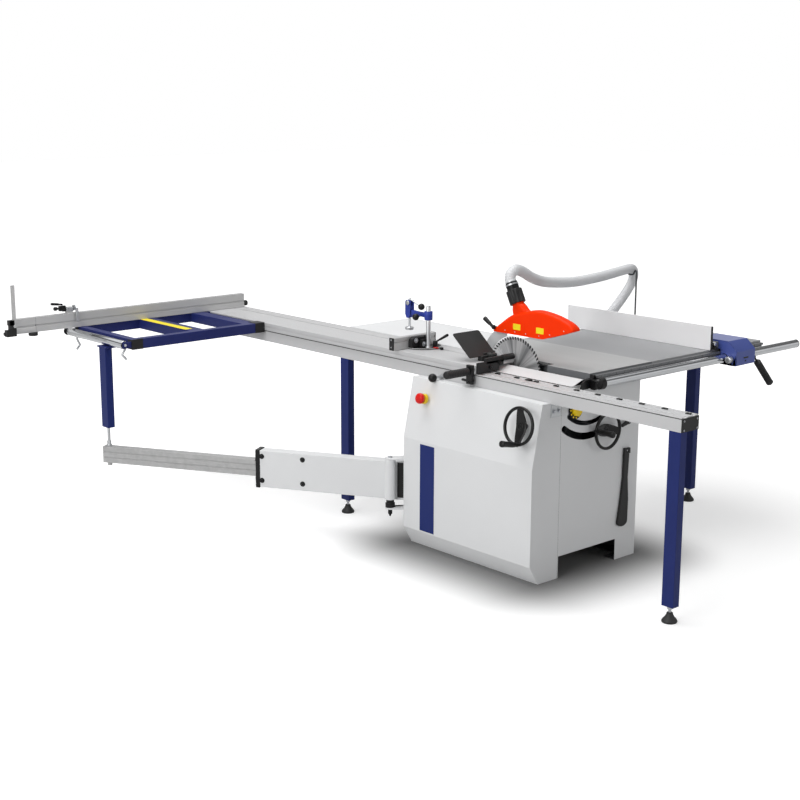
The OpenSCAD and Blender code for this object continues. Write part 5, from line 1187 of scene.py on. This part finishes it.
softened("arm_sleeve", "whitePaint blackPlastic", 1.4, armPick, segments=3)
onArm = lambda parts: moved(parts, armStart, armAlong, armAcross, zPlus)
endScrews = [capScrew((672, y, z), xPlus, 4.4, 2.6) for y in (-25, 25)
    for z in (205, 365)] + [capScrew((-78, y, z), xMinus, 4.4, 2.6) for y in (-23, 23) for z in (205, 365)]
sideBolts = [p for s in (436, 640) for z in (230, 346) for d in (-1, 1)
    for p in hexBolt((s, d * 30, z), (0, d, 0), 13, 7, 1)]
makePiece("armBolts", "arm", onArm(endScrews + sideBolts + [box(-60, -26, 29.6, 31, 208, 372, 1)]),
    "boltSteel glossBlack")
makePiece("armCap", "arm", onArm([box(652, 672, *span) for span in ((-31.5, 31.5, 325, 377), (-31.5, 31.5, 193, 245),
    (-31.5, -21.4, 245, 325), (21.4, 31.5, 245, 325))]), "glossBlack", bevel=2.0)
softened("arm_tube", "armAlu", 1.2)
print("stage 9d: swing arm")


# ---- floor, light and world
# near the cabinet's footprint the floor's colour darkens and its glow fades: a painted contact shadow round the base
floorSettings = dict(size=60.0, footprint=(0.32, 0.37), near=(0.0, 0.48), tone=(0.2, 0.62), bounce=(0.42, 0.62),
    span=(0.9, 4.5), glow=(0.5, 0.95), mirrored=0.2)


def whiteFloor(s):
    # pale diffuse floor; the camera and reflections see it lit up to white and shadows still fall on it; round the
    # cabinet's footprint a painted shadow darkens it
    material, tree, shader = newMaterial("studioFloor")
    rays = addNode(tree, "LightPath", {}).outputs
    mirrored = addNode(tree, "Math", {0: rays["Is Glossy Ray"], 1: s["mirrored"]}, operation="MULTIPLY")
    seen = addNode(tree, "Math", {0: rays["Is Camera Ray"], 1: mirrored}, operation="ADD", use_clamp=True)
    # the glow grows with distance from the cabinet's footprint, and again far out where the lamps no longer reach; the
    # first ramp is also the falloff of the painted shadow
    place = addNode(tree, "TexCoord", {}).outputs["Object"]
    nearby = addNode(tree, "VectorMath", {0: place}, operation="ABSOLUTE")
    for operation, value in (("SUBTRACT", (*s["footprint"], 1.0)), ("MAXIMUM", (0.0, 0.0, 0.0))):
        nearby = addNode(tree, "VectorMath", {0: nearby, 1: value}, operation=operation)
    ranges = []
    for source, span, glow in ((nearby, s["near"], (0.0, 1.0)), (place, s["span"], s["glow"])):
        reach = addNode(tree, "VectorMath", {0: source}, operation="LENGTH").outputs["Value"]
        limits = {"From Min": span[0], "From Max": span[1], "To Min": glow[0], "To Max": glow[1]}
        ranges.append(addNode(tree, "MapRange", {"Value": reach, **limits}, interpolation_type="SMOOTHSTEP"))
    paintedShadow, bounce = (addNode(tree, "MapRange", {"Value": ranges[0], "To Min": low, "To Max": high}) for low,
        high in (s["tone"], s["bounce"]))
    # only the camera sees the darkest tone of the painted shadow; diffuse rays get a lighter painted shade near the
    # cabinet, so the light sent back up changes less
    tone = addNode(tree, "Mix", {"Factor": rays["Is Camera Ray"], "A": bounce, "B": paintedShadow}, data_type="FLOAT")
    spread = addNode(tree, "Math", {0: ranges[0], 1: ranges[1]}, operation="MULTIPLY")
    lit = addNode(tree, "Math", {0: seen, 1: spread}, operation="MULTIPLY")
    feed(tree, shader, {"Roughness": 0.9, "Base Color": tone, "Emission Color": (1, 1, 1, 1), "Emission Strength": lit})
    return material


h = floorSettings["size"] / 2
floorMesh = bpy.data.meshes.new("studioFloor")
floorMesh.from_pydata([(-h, -h, 0), (h, -h, 0), (h, h, 0), (-h, h, 0)], [], [(0, 1, 2, 3)])
floorMesh.materials.append(whiteFloor(floorSettings))
floor = bpy.data.objects.new("studioFloor", floorMesh)
scene.collection.objects.link(floor)

lampSettings = {  # place, aim, size in metres and power in watts
    "leftSoftbox": ((-6.5, -0.6, 3.4), (0.0, 0.2, 0.6), 4.5, 205.0),
    "topSoftbox": ((-0.6, 1.2, 5.2), (0.1, 0.4, 0.6), 4.5, 178.0),
    "frontFill": ((1.6, -6.5, 2.6), (0.2, 0.0, 0.7), 4.0, 42.0),
}
for lampName, (place, aim, size, power) in lampSettings.items():
    data = bpy.data.lights.new(lampName, "AREA")
    data.shape, data.size, data.energy = "DISK", size, power
    lamp = bpy.data.objects.new(lampName, data)
    back = unit(np.array(place) - np.array(aim))
    side = unit(np.cross([0, 0, 1], back))
    lamp.matrix_world = Matrix.Translation(place) @ Matrix(np.column_stack([side, np.cross(back, side),
        back]).tolist()).to_4x4()
    scene.collection.objects.link(lamp)

worldSettings = dict(level=0.33, bands=((0.0, 0.75), (0.3, 0.7), (0.42, 0.14), (0.58, 0.16), (0.7, 1.0), (1.0, 0.95)))
scene.world = bpy.data.worlds.new("studioWorld")
scene.world.use_nodes = True
tree = scene.world.node_tree
rays = addNode(tree, "LightPath", {}).outputs
seen = addNode(tree, "Math", {0: rays["Is Camera Ray"], 1: rays["Is Transmission Ray"]}, operation="ADD",
    use_clamp=True)
# reflections see a studio: a pale horizon, a dark band and a bright ceiling
direction = addNode(tree, "TexCoord", {}).outputs["Generated"]
height = addNode(tree, "SeparateXYZ", {"Vector": direction}).outputs["Z"]
studio = addRamp(tree, height, [(at, (value, value, value, 1.0)) for at, value in worldSettings["bands"]])
glossy = addNode(tree, "Mix", {"Factor": rays["Is Glossy Ray"], "A": worldSettings["level"], "B": studio},
    data_type="FLOAT")
level = addNode(tree, "Mix", {"Factor": seen, "A": glossy, "B": 1.0}, data_type="FLOAT")
feed(tree, tree.nodes["Background"], {"Color": (1, 1, 1, 1), "Strength": level})
scene.view_settings.view_transform = "Standard"

print("stage 10: studio set")
